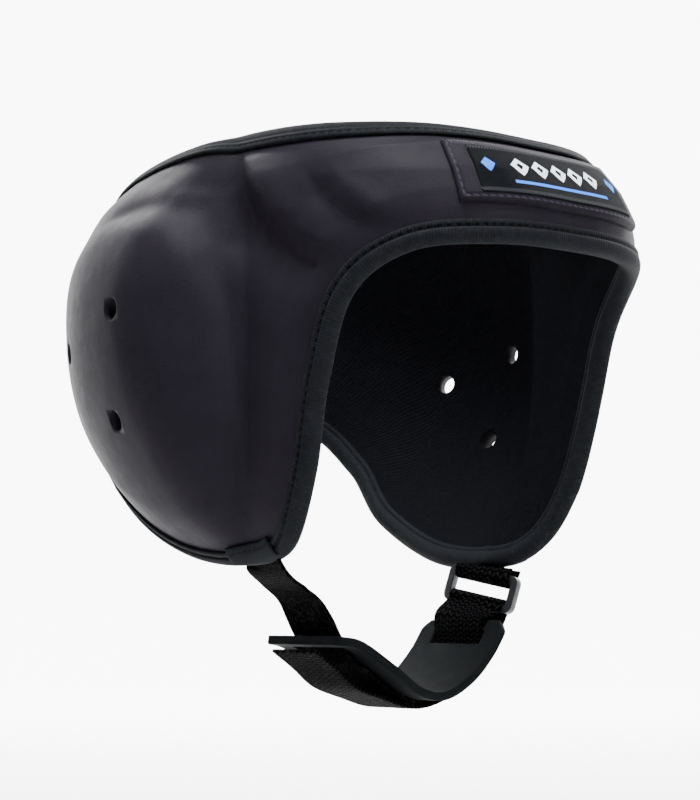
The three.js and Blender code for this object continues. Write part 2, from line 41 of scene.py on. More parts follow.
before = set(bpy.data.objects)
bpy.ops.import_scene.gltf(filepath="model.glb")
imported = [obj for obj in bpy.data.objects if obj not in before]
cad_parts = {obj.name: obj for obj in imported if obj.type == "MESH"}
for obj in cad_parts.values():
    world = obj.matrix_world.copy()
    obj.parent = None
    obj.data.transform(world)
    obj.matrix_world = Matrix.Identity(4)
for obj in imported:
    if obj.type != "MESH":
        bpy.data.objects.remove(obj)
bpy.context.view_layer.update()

# Sizes of the guard, in metres and degrees
GUARD_HEIGHT = 0.150
BAND_HALF_WIDTH = 0.076
FOREHEAD_REACH = 0.096
NAPE_REACH = 0.110
CUP_BULGE = 0.028
SHELL_WALL = 0.0048
SHELL_EDGE_WALL = 0.0032
LINING_WALL = 0.0008
CLEARANCE = 0.00035
TAPE_GAP = 0.00072
TAPE_WALL = 0.0009
TAPE_TUCK = 0.0002
TAPE_END = 0.001
BINDING_LIP = 0.0072
BEAD_RADIUS = 0.0033
VENT_RADIUS = 0.004
LINING_VENT_RADIUS = 0.96 * VENT_RADIUS
STITCH_PITCH = 0.003
NEVER = 9.0
PATCH_WALL = 0.0016
PATCH_WIDTH = 0.090
PATCH_HEIGHT = 0.026
PATCH_SHIFT = -0.0035
PATCH_DROP = 0.0055
PATCH_LEAN = 0.15
PATCH_SEAT = 0.00055
PATCH_SINK = 0.0012
PATCH_BACK = 0.0002
PATCH_CROWDING = 1.25
LABEL_WALL = 0.0006
LABEL_ROUND = 0.0009
LABEL_SINK = 0.0004
LABEL_SIDE_MARGIN = 0.008
LABEL_TOP_MARGIN = 0.0035
LABEL_LOW_MARGIN = 0.0025
WEBBING_WIDTH = 0.025
WEBBING_WALL = 0.0013
STRAP_HALF_SPAN = 0.055
STRAP_DROP = 0.052
STRAP_FORWARD = -0.004
PAD_WALL = 0.0032
PAD_WIDTH = 0.043
TAIL_BOW = 0.006
BUCKLE_BAR = 0.003
BUCKLE_HEIGHT = 0.0145
BUCKLE_TWIST = 9
BUCKLE_TILT = 11
TAB_TOP = 0.0095
TAB_BOTTOM = 0.003
TAB_MIDDLE = 0.005
TAB_TUCK = 0.001
TAB_SWELL = 0.0006
TAB_REACH = 1.5
STRAP_TURN = -12
STRAP_TUCK = 0.0022
STRAP_START = 0.004
SLOT_PASS = 0.0023
SLOT_CLEAR = 0.0005
EDGE_DEPTH = SHELL_EDGE_WALL + CLEARANCE + LINING_WALL
FLOOR_LEVEL = -0.30

# How finely the surfaces are divided
STATIONS = 480
SKIN_ROWS = 62
EDGE_RAMP_ROWS = 9
TAPE_STATIONS = 600
STRAP_STEPS = 14
PAD_LINE_STEPS = 40
PAD_COLUMNS = 200
PAD_ROWS = 42
PATCH_COLUMNS = 120
PATCH_ROWS = 50
TAB_COLUMNS = 24
TAB_ROWS = 13
BAND_STEPS = 8
AREA_STATIONS = 240
AREA_ROWS = 30
SEARCH_STEPS = 800

# Head form at each drop below the crown edge: shares of height, half width and reaches
HEAD_FORM = np.array([
    # drop, half, front, rear
    (-0.04, 0.88, 0.665, 0.95),
    (0.0, 0.90, 0.72, 0.965),
    (0.03, 0.925, 0.775, 0.98),
    (0.07, 0.955, 0.84, 0.99),
    (0.13, 0.985, 0.915, 1.0),
    (0.22, 1.0, 0.98, 1.0),
    (0.38, 1.0, 1.0, 1.0),
    (0.62, 0.98, 0.97, 0.98),
    (0.80, 0.93, 0.93, 0.92),
    (0.92, 0.86, 0.88, 0.83),
    (1.04, 0.71, 0.80, 0.68),
])
HEAD_SQUARENESS = 2.45

# Edges from the forehead to the back: azimuth and drop of the lower edge, then of the crown
EDGE_ROWS = np.array([
    (0, 0.287, 0, 0.006),
    (20, 0.290, 17, 0.003),
    (38, 0.312, 33, -0.002),
    (51, 0.405, 48, -0.004),
    (57.3, 0.59, 62, -0.008),
    (63, 0.82, 76, -0.010),
    (74, 0.967, 90, -0.010),
    (97, 1.0, 104, -0.003),
    (122, 0.975, 118, 0.010),
    (138, 0.875, 132, 0.032),
    (145, 0.725, 146, 0.062),
    (156, 0.60, 162, 0.092),
    (180, 0.58, 180, 0.105),
])
SIDE_ROWS = len(EDGE_ROWS) - 1
STRAP_ROW = 7 - 1 / 3

# Swells: azimuth, drop, spans to the front, rear, crown and jaw, rise as a share of the bulge
SWELLS = (
    (106, 0.42, 25, 66, 0.46, 0.60, 1.0),
    (142, 0.34, 30, 34, 0.36, 0.40, 0.07),
)
SWELL_SQUARENESS = 2.5
SWELL_SHOULDER = 1.2
SWELL_SOFTNESS = 0.09

# Vent holes: azimuths on the wearer's left and right cup, and drop
VENTS = ((105.4, 105.4, 0.407), (110.0, 110.7, 0.655), (122.5, 128.0, 0.48))

# Soft folds of the shell: depth, half width, and a line of azimuth, drop and strength
FOLDS = (
    (-0.0022, 0.0062, ((124, 0.175, 0.0), (112, 0.158, 0.7), (101.5, 0.152, 1.0),
                       (92.5, 0.178, 1.0), (86.5, 0.265, 1.0), (83.8, 0.420, 0.7),
                       (83.4, 0.670, 0.6), (88.0, 0.860, 0.3))),
    (-0.0048, 0.0130, ((112.0, -0.01, 0.7), (104.5, 0.030, 0.9), (96.5, 0.075, 1.0),
                       (88.0, 0.145, 1.0), (79.5, 0.222, 1.0), (70.0, 0.284, 0.9),
                       (60.0, 0.336, 0.6))),
    (0.0028, 0.0095, ((91.0, 0.000, 0.5), (81.0, 0.090, 0.9), (71.5, 0.190, 1.0),
                      (62.5, 0.262, 0.8), (54.0, 0.300, 0.2))),
    (-0.0016, 0.0055, ((64.0, 0.100, 0.0), (58.5, 0.170, 0.8), (53.0, 0.222, 1.0),
                       (47.2, 0.256, 0.9), (41.0, 0.276, 0.4))),
    (0.0015, 0.0060, ((57.0, 0.100, 0.0), (51.5, 0.170, 0.9), (46.0, 0.218, 1.0),
                      (39.5, 0.245, 0.4))),
)

# Raised pad over each ear: azimuth, drop, spans to the front, rear, crown and jaw, then the
# rise of the pad and the width of its soft border
EAR_PAD = (107, 0.56, 24, 46, 0.41, 0.40)
EAR_PAD_RISE = 0.0011
EAR_PAD_BORDER = 0.20

# Cloth along the shell for each degree, and how far a fold's weak stretches are drawn in
DEGREE_RUN = 0.0016
FOLD_FADE = 1.5

# How far the skin's rows run straight in from the lower edge before they turn
ROW_LEAD = 0.030

# Heights of the tape's lip over its inner face, at places in from the edge of the shell
LIP_ROWS = {
    "low": ((0.0074, -0.0004), (0.0072, 0.00035), (0.0068, 0.00055), (0.0060, 0.00055),
            (0.0054, 0.00042), (0.0050, 0.00015), (0.0046, -0.00010)),
    "top": ((0.0074, -0.0004), (0.0072, 0.00035), (0.0068, 0.00062), (0.0060, 0.00074),
            (0.0054, 0.00080), (0.0048, 0.00084), (0.0044, 0.00086)),
}
BEAD_TURNS = np.radians(np.linspace(70, 290, 19))
BEAD_MIDDLE_ROW = 14

# Middle line of the chin pad from the wearer's right to the left: shares of span and drop
PAD_BENDS = (
    (-0.68, 0.50), (-0.51, 0.53), (-0.21, 0.70), (0.05, 0.865),
    (0.26, 0.895), (0.51, 0.78), (0.70, 0.60), (0.85, 0.385),
)
# Slots of the pad: place and half length, as shares of the pad's length
PAD_SLOTS = ((0.12, 0.036), (0.92, 0.032))
PAD_SLOT_SPARE = 0.0003
PAD_END_SHARE = 0.05
PAD_END_WIDTH = 0.84

# Right strap down to the pad: shares of span and drop, and share of its turn at the flap
RIGHT_STRAP_BENDS = ((-0.83, 0.13, 0.7), (-0.69, 0.23, 0.35), (-0.60, 0.36, 0.0))
# Right strap through the slot: share of the pad's length, and side of the pad
RIGHT_STRAP_PASS = ((0.075, -1), (0.12, 0), (0.17, 1), (0.26, 1), (0.38, 1), (0.50, 1))
# Tail of the long strap: share of the pad's length, and share of its bow
TAIL_ROWS = ((-0.02, 0), (0.10, 0.75), (0.23, 1), (0.37, 0.45), (0.52, 0), (0.68, 0),
             (0.84, 0), (0.95, 0))
# End of the long strap: shares of the pad's length where it leaves the buckle, comes down,
# passes the slot, and then lies under the pad
STRAP_LEAVE, STRAP_LAND, STRAP_SINK, STRAP_CROSS = 0.99, 0.995, 0.955, 0.92
STRAP_END_ROWS = (0.88, 0.81, 0.70)
# Turns of the webbing round the buckle's bars: shares outwards and upwards of the wrap
LOW_BAR_TURN = ((1, -0.2), (0.75, 0.7), (0, 1.02), (-0.75, 0.7), (-1, -0.2))
TOP_BAR_TURN = ((1, 0.1), (0.75, -0.7), (0, -1.02), (-0.75, -0.7), (-1, 0.1))

# Camera at the photograph's place, round the middle of the guard
VIEW_TARGET = Vector((0, 0, -0.088))
VIEW_AZIMUTH = math.radians(-43)
VIEW_ELEVATION = math.radians(-5.5)
VIEW_DISTANCE = 0.8
SENSOR_WIDTH = 36
LENS_PER_SENSOR = 2160 / 800
LENS_SHIFT = -35 / 800

# Lights: name, place to the right, ahead and up from the guard, size, power, colour, spread
LIGHTS = (
    ("key", (-0.05, -0.35, 1.35), (0.9, 0.8), 23, (1, 1, 1), 70),
    ("side", (1.1, -1.1, 0.6), (0.8, 0.9), 3.5, (1, 1, 1), 40),
    ("left_top", (-1.1, 0.15, 0.85), (0.4, 0.8), 6, (0.94, 0.93, 1.0), 180),
    ("fill", (-0.3, -1.5, 0.3), (1.2, 0.8), 0.6, (1, 1, 1), 180),
)
LIGHT_TARGET = (0, 0, -0.08)
BACKDROP_POWER = 620
ROOM_GLOW = 0.08

# The round room: flat floor, turn and wall
FLOOR_REACH = 2.6
FLOOR_TURN = 1.4
WALL_HEIGHT = 2.4


def through_rows(values, place):
    """A smooth value through the rows of a table, at places counted in rows."""
    values = np.asarray(values, float)
    ends = np.concatenate([[2 * values[0] - values[1]], values, [2 * values[-1] - values[-2]]])
    row = np.clip(np.floor(place), 0, len(values) - 2).astype(int)
    share = place - row
    before, here, after, beyond = ends[row], ends[row + 1], ends[row + 2], ends[row + 3]
    square, cube = share**2, share**3
    return (here * (2 * cube - 3 * square + 1) + (after - before) / 2 * (cube - 2 * square + share)
            + after * (3 * square - 2 * cube) + (beyond - here) / 2 * (cube - square))


def swell_at(azimuth, drop):
    """How far the cups stand out of the head form."""
    rise = np.zeros(np.broadcast(azimuth, drop).shape)
    for at, low, fore, aft, up, down, share in SWELLS:
        aside = np.abs(azimuth) - at
        below = drop - low
        across = np.abs(aside) / np.where(aside < 0, fore, aft)
        along = np.abs(below) / np.where(below < 0, up, down)
        away = (across**SWELL_SQUARENESS + along**SWELL_SQUARENESS) ** (1 / SWELL_SQUARENESS)
        inside = 1 - away**2
        soft = (inside + np.sqrt(inside**2 + SWELL_SOFTNESS**2)) / 2
        rise += share * soft**SWELL_SHOULDER
    return rise * CUP_BULGE


def outer_point(azimuth, drop):
    """Points of the shell's outer side. Azimuth in degrees from the front, left positive."""
    drops = HEAD_FORM[:, 0]
    row = np.clip(np.searchsorted(drops, drop) - 1, 0, len(drops) - 2)
    place = row + (drop - drops[row]) / (drops[row + 1] - drops[row])
    half = BAND_HALF_WIDTH * through_rows(HEAD_FORM[:, 1], place)
    front = FOREHEAD_REACH * through_rows(HEAD_FORM[:, 2], place)
    rear = NAPE_REACH * through_rows(HEAD_FORM[:, 3], place)
    turn = np.radians(azimuth)
    across = np.abs(np.sin(turn)) / half
    along = np.abs(np.cos(turn)) / np.where(np.cos(turn) > 0, front, rear)
    reach = (across**HEAD_SQUARENESS + along**HEAD_SQUARENESS) ** (-1 / HEAD_SQUARENESS)
    reach = reach + swell_at(azimuth, drop)
    return np.stack([reach * np.sin(turn), -reach * np.cos(turn), -drop * GUARD_HEIGHT], -1)


def unit(vectors):
    """Vectors of length one."""
    return vectors / np.linalg.norm(vectors, axis=-1, keepdims=True)


def surface_frame(azimuth, drop):
    """Outer points with their normals and the directions along azimuth and drop."""
    step_at, step_drop = 0.5, 0.004
    along_at = outer_point(azimuth + step_at, drop) - outer_point(azimuth - step_at, drop)
    along_drop = outer_point(azimuth, drop + step_drop) - outer_point(azimuth, drop - step_drop)
    normal = unit(np.cross(along_drop, along_at))
    return (outer_point(azimuth, drop), normal, along_at / (2 * step_at),
            along_drop / (2 * step_drop))


def offset_point(azimuth, drop, height):
    """Points at a height over the outer side."""
    point, normal, _, _ = surface_frame(azimuth, drop)
    return point + normal * np.asarray(height)[..., None]


def edge_place(edge, row_place):
    """Azimuth and drop of the low or top edge, at places counted in rows round the guard."""
    wrapped = np.mod(row_place, 2 * SIDE_ROWS)
    left = wrapped <= SIDE_ROWS
    place = np.where(left, wrapped, 2 * SIDE_ROWS - wrapped)
    column = 0 if edge == "low" else 2
    at, drop = EDGE_ROWS[:, column], EDGE_ROWS[:, column + 1]
    at = np.concatenate([[-at[1]], at, [360 - at[-2]]])
    drop = np.concatenate([[drop[1]], drop, [drop[-2]]])
    return (np.where(left, 1, -1) * through_rows(at, place + 1), through_rows(drop, place + 1))


def inward_place(edge, row_place, distance):
    """Azimuth and drop at a distance inwards from an edge, at a right angle to it."""
    at, drop = edge_place(edge, row_place)
    _, normal, along_at, along_drop = surface_frame(at, drop)
    run = (outer_point(*edge_place(edge, row_place + 0.1))
           - outer_point(*edge_place(edge, row_place - 0.1)))
    inward = unit(np.cross(unit(run), normal)) * (-1 if edge == "low" else 1)
    aa = (along_at * along_at).sum(-1)
    ad = (along_at * along_drop).sum(-1)
    dd = (along_drop * along_drop).sum(-1)
    to_at = (inward * along_at).sum(-1)
    to_drop = (inward * along_drop).sum(-1)
    scale = distance / (aa * dd - ad * ad)
    return at + scale * (to_at * dd - to_drop * ad), drop + scale * (to_drop * aa - to_at * ad)


def column_places(row_place, shares):
    """Places from the low lip to the crown lip, at shares of the way between them."""
    start = inward_place("low", row_place, BINDING_LIP)
    start_aim = inward_place("low", row_place, BINDING_LIP + ROW_LEAD)
    end_aim = inward_place("top", row_place, BINDING_LIP + ROW_LEAD / 2)
    end = inward_place("top", row_place, BINDING_LIP)
    rest = 1 - shares
    return tuple(
        rest**3 * start[k] + 3 * rest * rest * shares * start_aim[k]
        + 3 * rest * shares * shares * end_aim[k] + shares**3 * end[k]
        for k in (0, 1)
    )


def fold_depth(azimuth, drop):
    """Height of the soft folds and of the ear pad over the smooth shell."""
    height = np.zeros(np.broadcast(azimuth, drop).shape)
    across = DEGREE_RUN * np.abs(azimuth)
    down = GUARD_HEIGHT * drop
    for depth, width, line in FOLDS:
        nearest = np.full(height.shape, np.inf)
        for (a0, d0, s0), (a1, d1, s1) in zip(line, line[1:]):
            x0, x1 = DEGREE_RUN * a0, DEGREE_RUN * a1
            y0, y1 = GUARD_HEIGHT * d0, GUARD_HEIGHT * d1
            length = (x1 - x0) ** 2 + (y1 - y0) ** 2
            t = np.clip(((across - x0) * (x1 - x0) + (down - y0) * (y1 - y0)) / length, 0, 1)
            away = np.hypot(across - x0 - t * (x1 - x0), down - y0 - t * (y1 - y0))
            away = away + (1 - (s0 + t * (s1 - s0))) * width * FOLD_FADE
            nearest = np.minimum(nearest, away)
        height += depth * np.exp(-(nearest / width) ** 2)
    at, low, fore, aft, above, below = EAR_PAD
    aside, under = np.abs(azimuth) - at, drop - low
    away = ((np.abs(aside) / np.where(aside < 0, fore, aft)) ** SWELL_SQUARENESS
            + (np.abs(under) / np.where(under < 0, above, below)) ** SWELL_SQUARENESS)
    inside = np.clip((1 - away ** (1 / SWELL_SQUARENESS)) / EAR_PAD_BORDER, 0, 1)
    return height + EAR_PAD_RISE * inside * inside * (3 - 2 * inside)


def curve_line(points, steps):
    """Points on a smooth centripetal curve through rows, with equal steps for each span."""
    points = np.asarray(points, float)
    first, last = 2 * points[0] - points[1], 2 * points[-1] - points[-2]
    ends = np.concatenate([[first], points, [last]])
    line = []
    for span in range(len(points) - 1):
        p0, p1, p2, p3 = ends[span:span + 4]
        d0, d1, d2 = (max(np.linalg.norm(b - a) ** 0.5, 1e-4)
                      for a, b in ((p0, p1), (p1, p2), (p2, p3)))
        t1 = ((p1 - p0) / d0 - (p2 - p0) / (d0 + d1) + (p2 - p1) / d1) * d1
        t2 = ((p2 - p1) / d1 - (p3 - p1) / (d1 + d2) + (p3 - p2) / d2) * d1
        for step in range(steps):
            t = step / steps
            line.append(p1 + t1 * t + (3 * (p2 - p1) - 2 * t1 - t2) * t**2
                        + (2 * (p1 - p2) + t1 + t2) * t**3)
    line.append(points[-1])
    return np.array(line)


def lengths_along(line):
    """Distance from the start of a line to each of its points."""
    steps = np.linalg.norm(np.diff(line, axis=0), axis=1)
    return np.concatenate([[0], np.cumsum(steps)])


def strap_point(across, drop):
    """A point of the chin strap's middle surface, by shares of its span and drop."""
    return np.array([across * STRAP_HALF_SPAN, -STRAP_FORWARD, -GUARD_HEIGHT - drop * STRAP_DROP])


PAD_LINE = curve_line([strap_point(*row) for row in PAD_BENDS], PAD_LINE_STEPS)
PAD_LENGTHS = lengths_along(PAD_LINE)
FIRST_UNDER = PAD_WALL / 2 + CLEARANCE + WEBBING_WALL / 2
SECOND_UNDER = FIRST_UNDER + WEBBING_WALL + CLEARANCE


def layer_point(share, depth):
    """A point at a share of the pad's length and a depth under its middle surface."""
    clipped = min(max(share, 0), 1)
    goal = clipped * PAD_LENGTHS[-1]
    step = 0.0005
    near, far = max(goal - step, 0), min(goal + step, PAD_LENGTHS[-1])
    point, before, after = (
        np.array([np.interp(s, PAD_LENGTHS, PAD_LINE[:, k]) for k in range(3)])
        for s in (goal, near, far)
    )
    tangent = unit(after - before)
    down = unit(np.cross(tangent, (0, -1, 0)))
    if down[2] > 0:
        down = -down
    return point + tangent * (share - clipped) * PAD_LENGTHS[-1] + down * depth


def width_direction(twist, tilt):
    """Direction of a band's width, turned about the vertical and lowered at its front."""
    twist, tilt = math.radians(twist), math.radians(tilt)
    return np.array([math.sin(twist) * math.cos(tilt), -math.cos(twist) * math.cos(tilt),
                     -math.sin(tilt)])


def webbing_row(point, twist=0.0, tilt=0.0, width=WEBBING_WIDTH):
    """One row of a band: its point, twist, tilt and width."""
    return (np.asarray(point, float), twist, tilt, width)


def anchor_point(side, below):
    """A point just under the bead at the bottom of a flap."""
    at, drop = inward_place("low", np.array([side * (STRAP_ROW + 0.1)]), -below)
    return offset_point(at, drop, -EDGE_DEPTH / 2)[0]


def ring(outer, inner):
    """Rows of an outer side, then those of the inner side backwards, round to the first."""
    return np.concatenate([outer, inner[:, ::-1], outer[:, :1]], 1)


def there_and_back(places):
    """Places across an outer side, then back across the inner side to the first."""
    return np.concatenate([places, places[::-1], places[:1]])


def paired(along, across):
    """UVs in metres from the lengths along the columns and across the rows."""
    return np.stack(np.broadcast_arrays(along[:, None], across[None, :]), -1)


def shape_grid(points, uvs):
    """A shape from a grid whose vertices go to points[column][row], with UVs in metres."""
    columns, rows = points.shape[:2]
    shape = bmesh.new()
    layer = shape.loops.layers.uv.new("fabric")
    bmesh.ops.create_grid(shape, x_segments=columns - 1, y_segments=rows - 1, size=1)
    places = {}
    for vert in shape.verts:
        column = round((vert.co.x + 1) / 2 * (columns - 1))
        row = round((vert.co.y + 1) / 2 * (rows - 1))
        places[vert] = (column, row)
    for face in shape.faces:
        face.smooth = True
        for loop in face.loops:
            loop[layer].uv = uvs[places[loop.vert]]
    for vert, place in places.items():
        vert.co = points[place]
    return shape


def make_object(shape, name):
    """Makes a shape an object at the origin."""
    mesh = bpy.data.meshes.new(name)
    shape.to_mesh(mesh)
    shape.free()
    piece = bpy.data.objects.new(name, mesh)
    bpy.context.scene.collection.objects.link(piece)
    return piece


def close_shape(shape, name):
    """Merges a shape's doubles, closes its ends and makes it an object at the origin."""
    bmesh.ops.remove_doubles(shape, verts=shape.verts, dist=1e-6)
    bmesh.ops.dissolve_degenerate(shape, dist=1e-7, edges=shape.edges)
    bmesh.ops.holes_fill(shape, edges=shape.edges, sides=0)
    bmesh.ops.recalc_face_normals(shape, faces=shape.faces)
    return make_object(shape, name)


def finish_piece(piece, slot, material, *nodes):
    """Puts a piece on the frame in place of CAD nodes, with its material; its slot is not used."""
    piece.data.materials.clear()
    piece.data.materials.append(material)
    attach(piece, "root")
    if nodes:
        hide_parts(*nodes)
    return piece


class Value:
    """A node's output, with arithmetic that adds Math nodes."""

    def __init__(self, finish, socket):
        self.finish = finish
        self.socket = socket

    def math(self, operation, *others):
        """A Math node on this value and others."""
        inputs = {0: self}
        inputs.update({place + 1: other for place, other in enumerate(others)})
        return self.finish.node("ShaderNodeMath", {"operation": operation}, inputs)

    def reflected(self, operation, other):
        """A Math node with this value second."""
        return self.finish.node("ShaderNodeMath", {"operation": operation}, {0: other, 1: self})

    def __add__(self, other):
        return self.math("ADD", other)

    def __sub__(self, other):
        return self.math("SUBTRACT", other)

    def __mul__(self, other):
        return self.math("MULTIPLY", other)

    def __truediv__(self, other):
        return self.math("DIVIDE", other)

    def __lt__(self, other):
        return self.math("LESS_THAN", other)

    def __gt__(self, other):
        return self.math("GREATER_THAN", other)

    def __radd__(self, other):
        return self.reflected("ADD", other)

    def __rsub__(self, other):
        return self.reflected("SUBTRACT", other)

    def __rmul__(self, other):
        return self.reflected("MULTIPLY", other)

    def wave(self, pitch):
        """A smooth wave from 0 to 1 with that pitch in metres."""
        return (self * (2 * math.pi / pitch)).math("SINE") * 0.5 + 0.5

    def share_of(self, pitch):
        """The place within each pitch, from 0 to 1."""
        return (self / pitch).math("FRACT")

    def between(self, low, high):
        """1 where the value lies between two numbers."""
        return (self > low) * (self < high)


class Finish:
    """A material and the nodes that make it."""

    def __init__(self, name, colour, roughness, ior=1.45):
        self.material = bpy.data.materials.new(name)
        self.material.use_nodes = True
        self.tree = self.material.node_tree
        self.shader = self.tree.nodes["Principled BSDF"]
        self.last_bump = None
        self.set("Base Color", (*colour, 1))
        self.set("Roughness", roughness)
        self.set("IOR", ior)

    def node(self, kind, settings=None, inputs=None, out=0):
        """Adds a node with its settings, then its inputs, and gives one of its outputs."""
        node = self.tree.nodes.new(kind)
        for key, value in (settings or {}).items():
            setattr(node, key, value)
        for key, value in (inputs or {}).items():
            if isinstance(value, Value):
                self.tree.links.new(value.socket, node.inputs[key])
            else:
                node.inputs[key].default_value = value
        return Value(self, node.outputs[out])

    def set(self, socket, value):
        """Sets or links one socket of the shader."""
        if isinstance(value, Value):
            self.tree.links.new(value.socket, self.shader.inputs[socket])
        else:
            self.shader.inputs[socket].default_value = value

    def cloth_place(self):
        """The piece's own UV in metres, as two values."""
        place = self.node("ShaderNodeUVMap", {"uv_map": "fabric"})
        split = {0: place}
        return (self.node("ShaderNodeSeparateXYZ", None, split, 0),
                self.node("ShaderNodeSeparateXYZ", None, split, 1))

    def noise(self, scale, detail=2.0, stretch=None):
        """Noise from 0 to 1 on Object coordinates, with that many grains in a metre."""
        place = self.node("ShaderNodeTexCoord", None, None, 3)
        if stretch:
            place = self.node("ShaderNodeMapping", None, {0: place, 3: stretch})
        return self.node("ShaderNodeTexNoise", None,
                         {"Vector": place, "Scale": scale, "Detail": detail})

    def mix_colour(self, share, first, second):
        """A colour between two, by a share."""
        first, second = (c if isinstance(c, Value) else (*c, 1) for c in (first, second))
        return self.node("ShaderNodeMix", {"data_type": "RGBA"},
                         {0: share, 6: first, 7: second}, 2)

    def tone(self, share, colour, dark, light):
        """A colour between a darker and a lighter shade of it, by a share."""
        return self.mix_colour(share, shade(colour, dark), shade(colour, light))

    def bump(self, height, depth):
        """Relief of a depth in metres, over the relief before it."""
        inputs = {"Height": height, "Distance": depth, "Strength": 1.0}
        if self.last_bump:
            inputs["Normal"] = self.last_bump
        self.last_bump = self.node("ShaderNodeBump", None, inputs)
        self.set("Normal", self.last_bump)
        return self


def shade(colour, factor):
    """The same colour at another brightness."""
    return tuple(channel * factor for channel in colour)


def neoprene(name, colour):
    """Smooth knitted cloth over foam, with a fine nap and faint mottling."""
    cloth = Finish(name, colour, roughness=0.5, ior=1.09)
    cloth.set("Base Color", cloth.tone(cloth.noise(55, 3), colour, 0.82, 1.22))
    cloth.set("Roughness", cloth.noise(220, 2) * 0.14 + 0.46)
    cloth.bump(cloth.noise(45, 2), 0.0004)
    cloth.bump(cloth.noise(1500, 2), 0.00008)
    cloth.bump(cloth.noise(420, 2, (1, 1, 1.6)), 0.00004)
    return cloth.material


def patch_cloth(name, colour):
    """The shell's cloth with a stitched border and a ribbed strip along its top."""
    cloth = Finish(name, colour, roughness=0.5, ior=1.09)
    along, across = cloth.cloth_place()
    base = cloth.tone(cloth.noise(55, 3), colour, 0.82, 1.22)
    from_side = PATCH_WIDTH / 2 - along.math("ABSOLUTE")
    from_end = PATCH_HEIGHT / 2 - across.math("ABSOLUTE")
    near = from_side.math("MINIMUM", from_end)
    on_line = (near - 0.0017).math("ABSOLUTE")
    run = along + across
    dashes = (on_line < 0.00035) * run.share_of(0.0029).between(0.2, 0.8)
    strip = across > PATCH_HEIGHT / 2 - LABEL_TOP_MARGIN + 0.001
    ribs = along.wave(0.0012) * strip
    cloth.set("Base Color", cloth.mix_colour(dashes, base, shade(colour, 3.2)))
    cloth.bump(cloth.noise(1500, 2), 0.00012)
    cloth.bump(ribs, 0.0003)
    cloth.bump((1 - on_line / 0.0012).math("MAXIMUM", 0.0) * -1.0, 0.0005)
    cloth.bump(dashes, 0.0003)
    return cloth.material


def brushed_knit(name, colour):
    """Brushed lining knit with fine slanting ribs."""
    cloth = Finish(name, colour, roughness=0.95, ior=1.04)
    along, across = cloth.cloth_place()
    ribs = (along + across * 0.7 + cloth.noise(90, 2) * 0.0014).wave(0.0013)
    fuzz = cloth.noise(900, 3)
    cloth.set("Base Color", cloth.tone(ribs * 0.35 + fuzz * 0.65, colour, 0.45, 2.2))
    cloth.bump(ribs, 0.00012)
    cloth.bump(fuzz, 0.0003)
    return cloth.material


def ribbed_tape(name, colour, stitch_at, groove_shade_at=NEVER):
    """Cross-ribbed binding tape with a row of sunk stitches and painted shade in the groove by its
    bead.
    """
    tape = Finish(name, colour, roughness=0.65, ior=1.08)
    along, across = tape.cloth_place()
    ribs = along.wave(STITCH_PITCH / 3)
    dash = along.share_of(STITCH_PITCH)
    on_line = (across - stitch_at).math("ABSOLUTE")
    stitch = (on_line < 0.00034) * dash.between(0.22, 0.72)
    groove = (1 - on_line / 0.0008).math("MAXIMUM", 0.0)
    # Dark colour of the stitches, also used as painted shade in the groove beside the bead
    stitch_and_groove_shade = shade(colour, 0.15)
    worn = tape.noise(420, 3)
    face = tape.tone(ribs * 0.2 + worn * 0.8, colour, 0.72, 1.3)
    # Painted shade: the colour darkens in the groove beside the bead
    groove_shade = (1 - (across - groove_shade_at).math("ABSOLUTE") / 0.0006).math("MAXIMUM", 0.0)
    face = tape.mix_colour(groove_shade, face, stitch_and_groove_shade)
    tape.set("Base Color", tape.mix_colour(stitch, face, stitch_and_groove_shade))
    tape.bump(ribs * 0.7 - groove, 0.00013)
    tape.bump(worn, 0.00012)
    tape.bump(stitch * -1.0, 0.0004)
    return tape.material


def woven_webbing(name, colour, fuzzy_from=NEVER, fuzzy_to=NEVER):
    """Narrow webbing with slanting ribs, and a fuzzy fastening face on one stretch."""
    strap = Finish(name, colour, roughness=0.7, ior=1.04)
    along, across = strap.cloth_place()
    fold = (across / 0.0036).math("PINGPONG", 0.5) * 0.0022
    ribs = (along + fold + strap.noise(260, 2) * 0.0006).wave(0.0018)
    threads = across.wave(0.0018)
    weave = ribs * 0.65 + threads * 0.35
    fuzzy = along.between(fuzzy_from, fuzzy_to)
    fuzz = ((strap.noise(900, 2) - 0.5) * 4.5 + 0.5).math("MAXIMUM", 0.0).math("MINIMUM", 1.0)
    height = weave + fuzzy * (fuzz - weave)
    # Painted light: the base colour follows the weave's height, with painted highlights on the
    # thread tops and painted shade in the gaps
    strap.set("Base Color", strap.tone(height.math("POWER", 3.0), colour, 0.1, 7.5))
    strap.set("Roughness", fuzzy * 0.15 + 0.68)
    strap.bump(height, 0.0009)
    return strap.material


def rubber_sheet(name, colour):
    """Smooth rubber sheet with a fine matt skin."""
    sheet = Finish(name, colour, roughness=0.75, ior=1.09)
    sheet.set("Base Color", sheet.tone(sheet.noise(90, 3), colour, 0.85, 1.15))
    sheet.set("Roughness", sheet.noise(260, 2) * 0.15 + 0.68)
    sheet.bump(sheet.noise(1600, 2), 0.00006)
    sheet.bump(sheet.noise(110, 2), 0.0003)
    return sheet.material


def moulded_plastic(name, colour):
    """Moulded black plastic with a light mould grain."""
    plastic = Finish(name, colour, roughness=0.34, ior=1.4)
    plastic.set("Roughness", plastic.noise(500, 3) * 0.15 + 0.28)
    plastic.bump(plastic.noise(2200, 2), 0.00004)
    return plastic.material


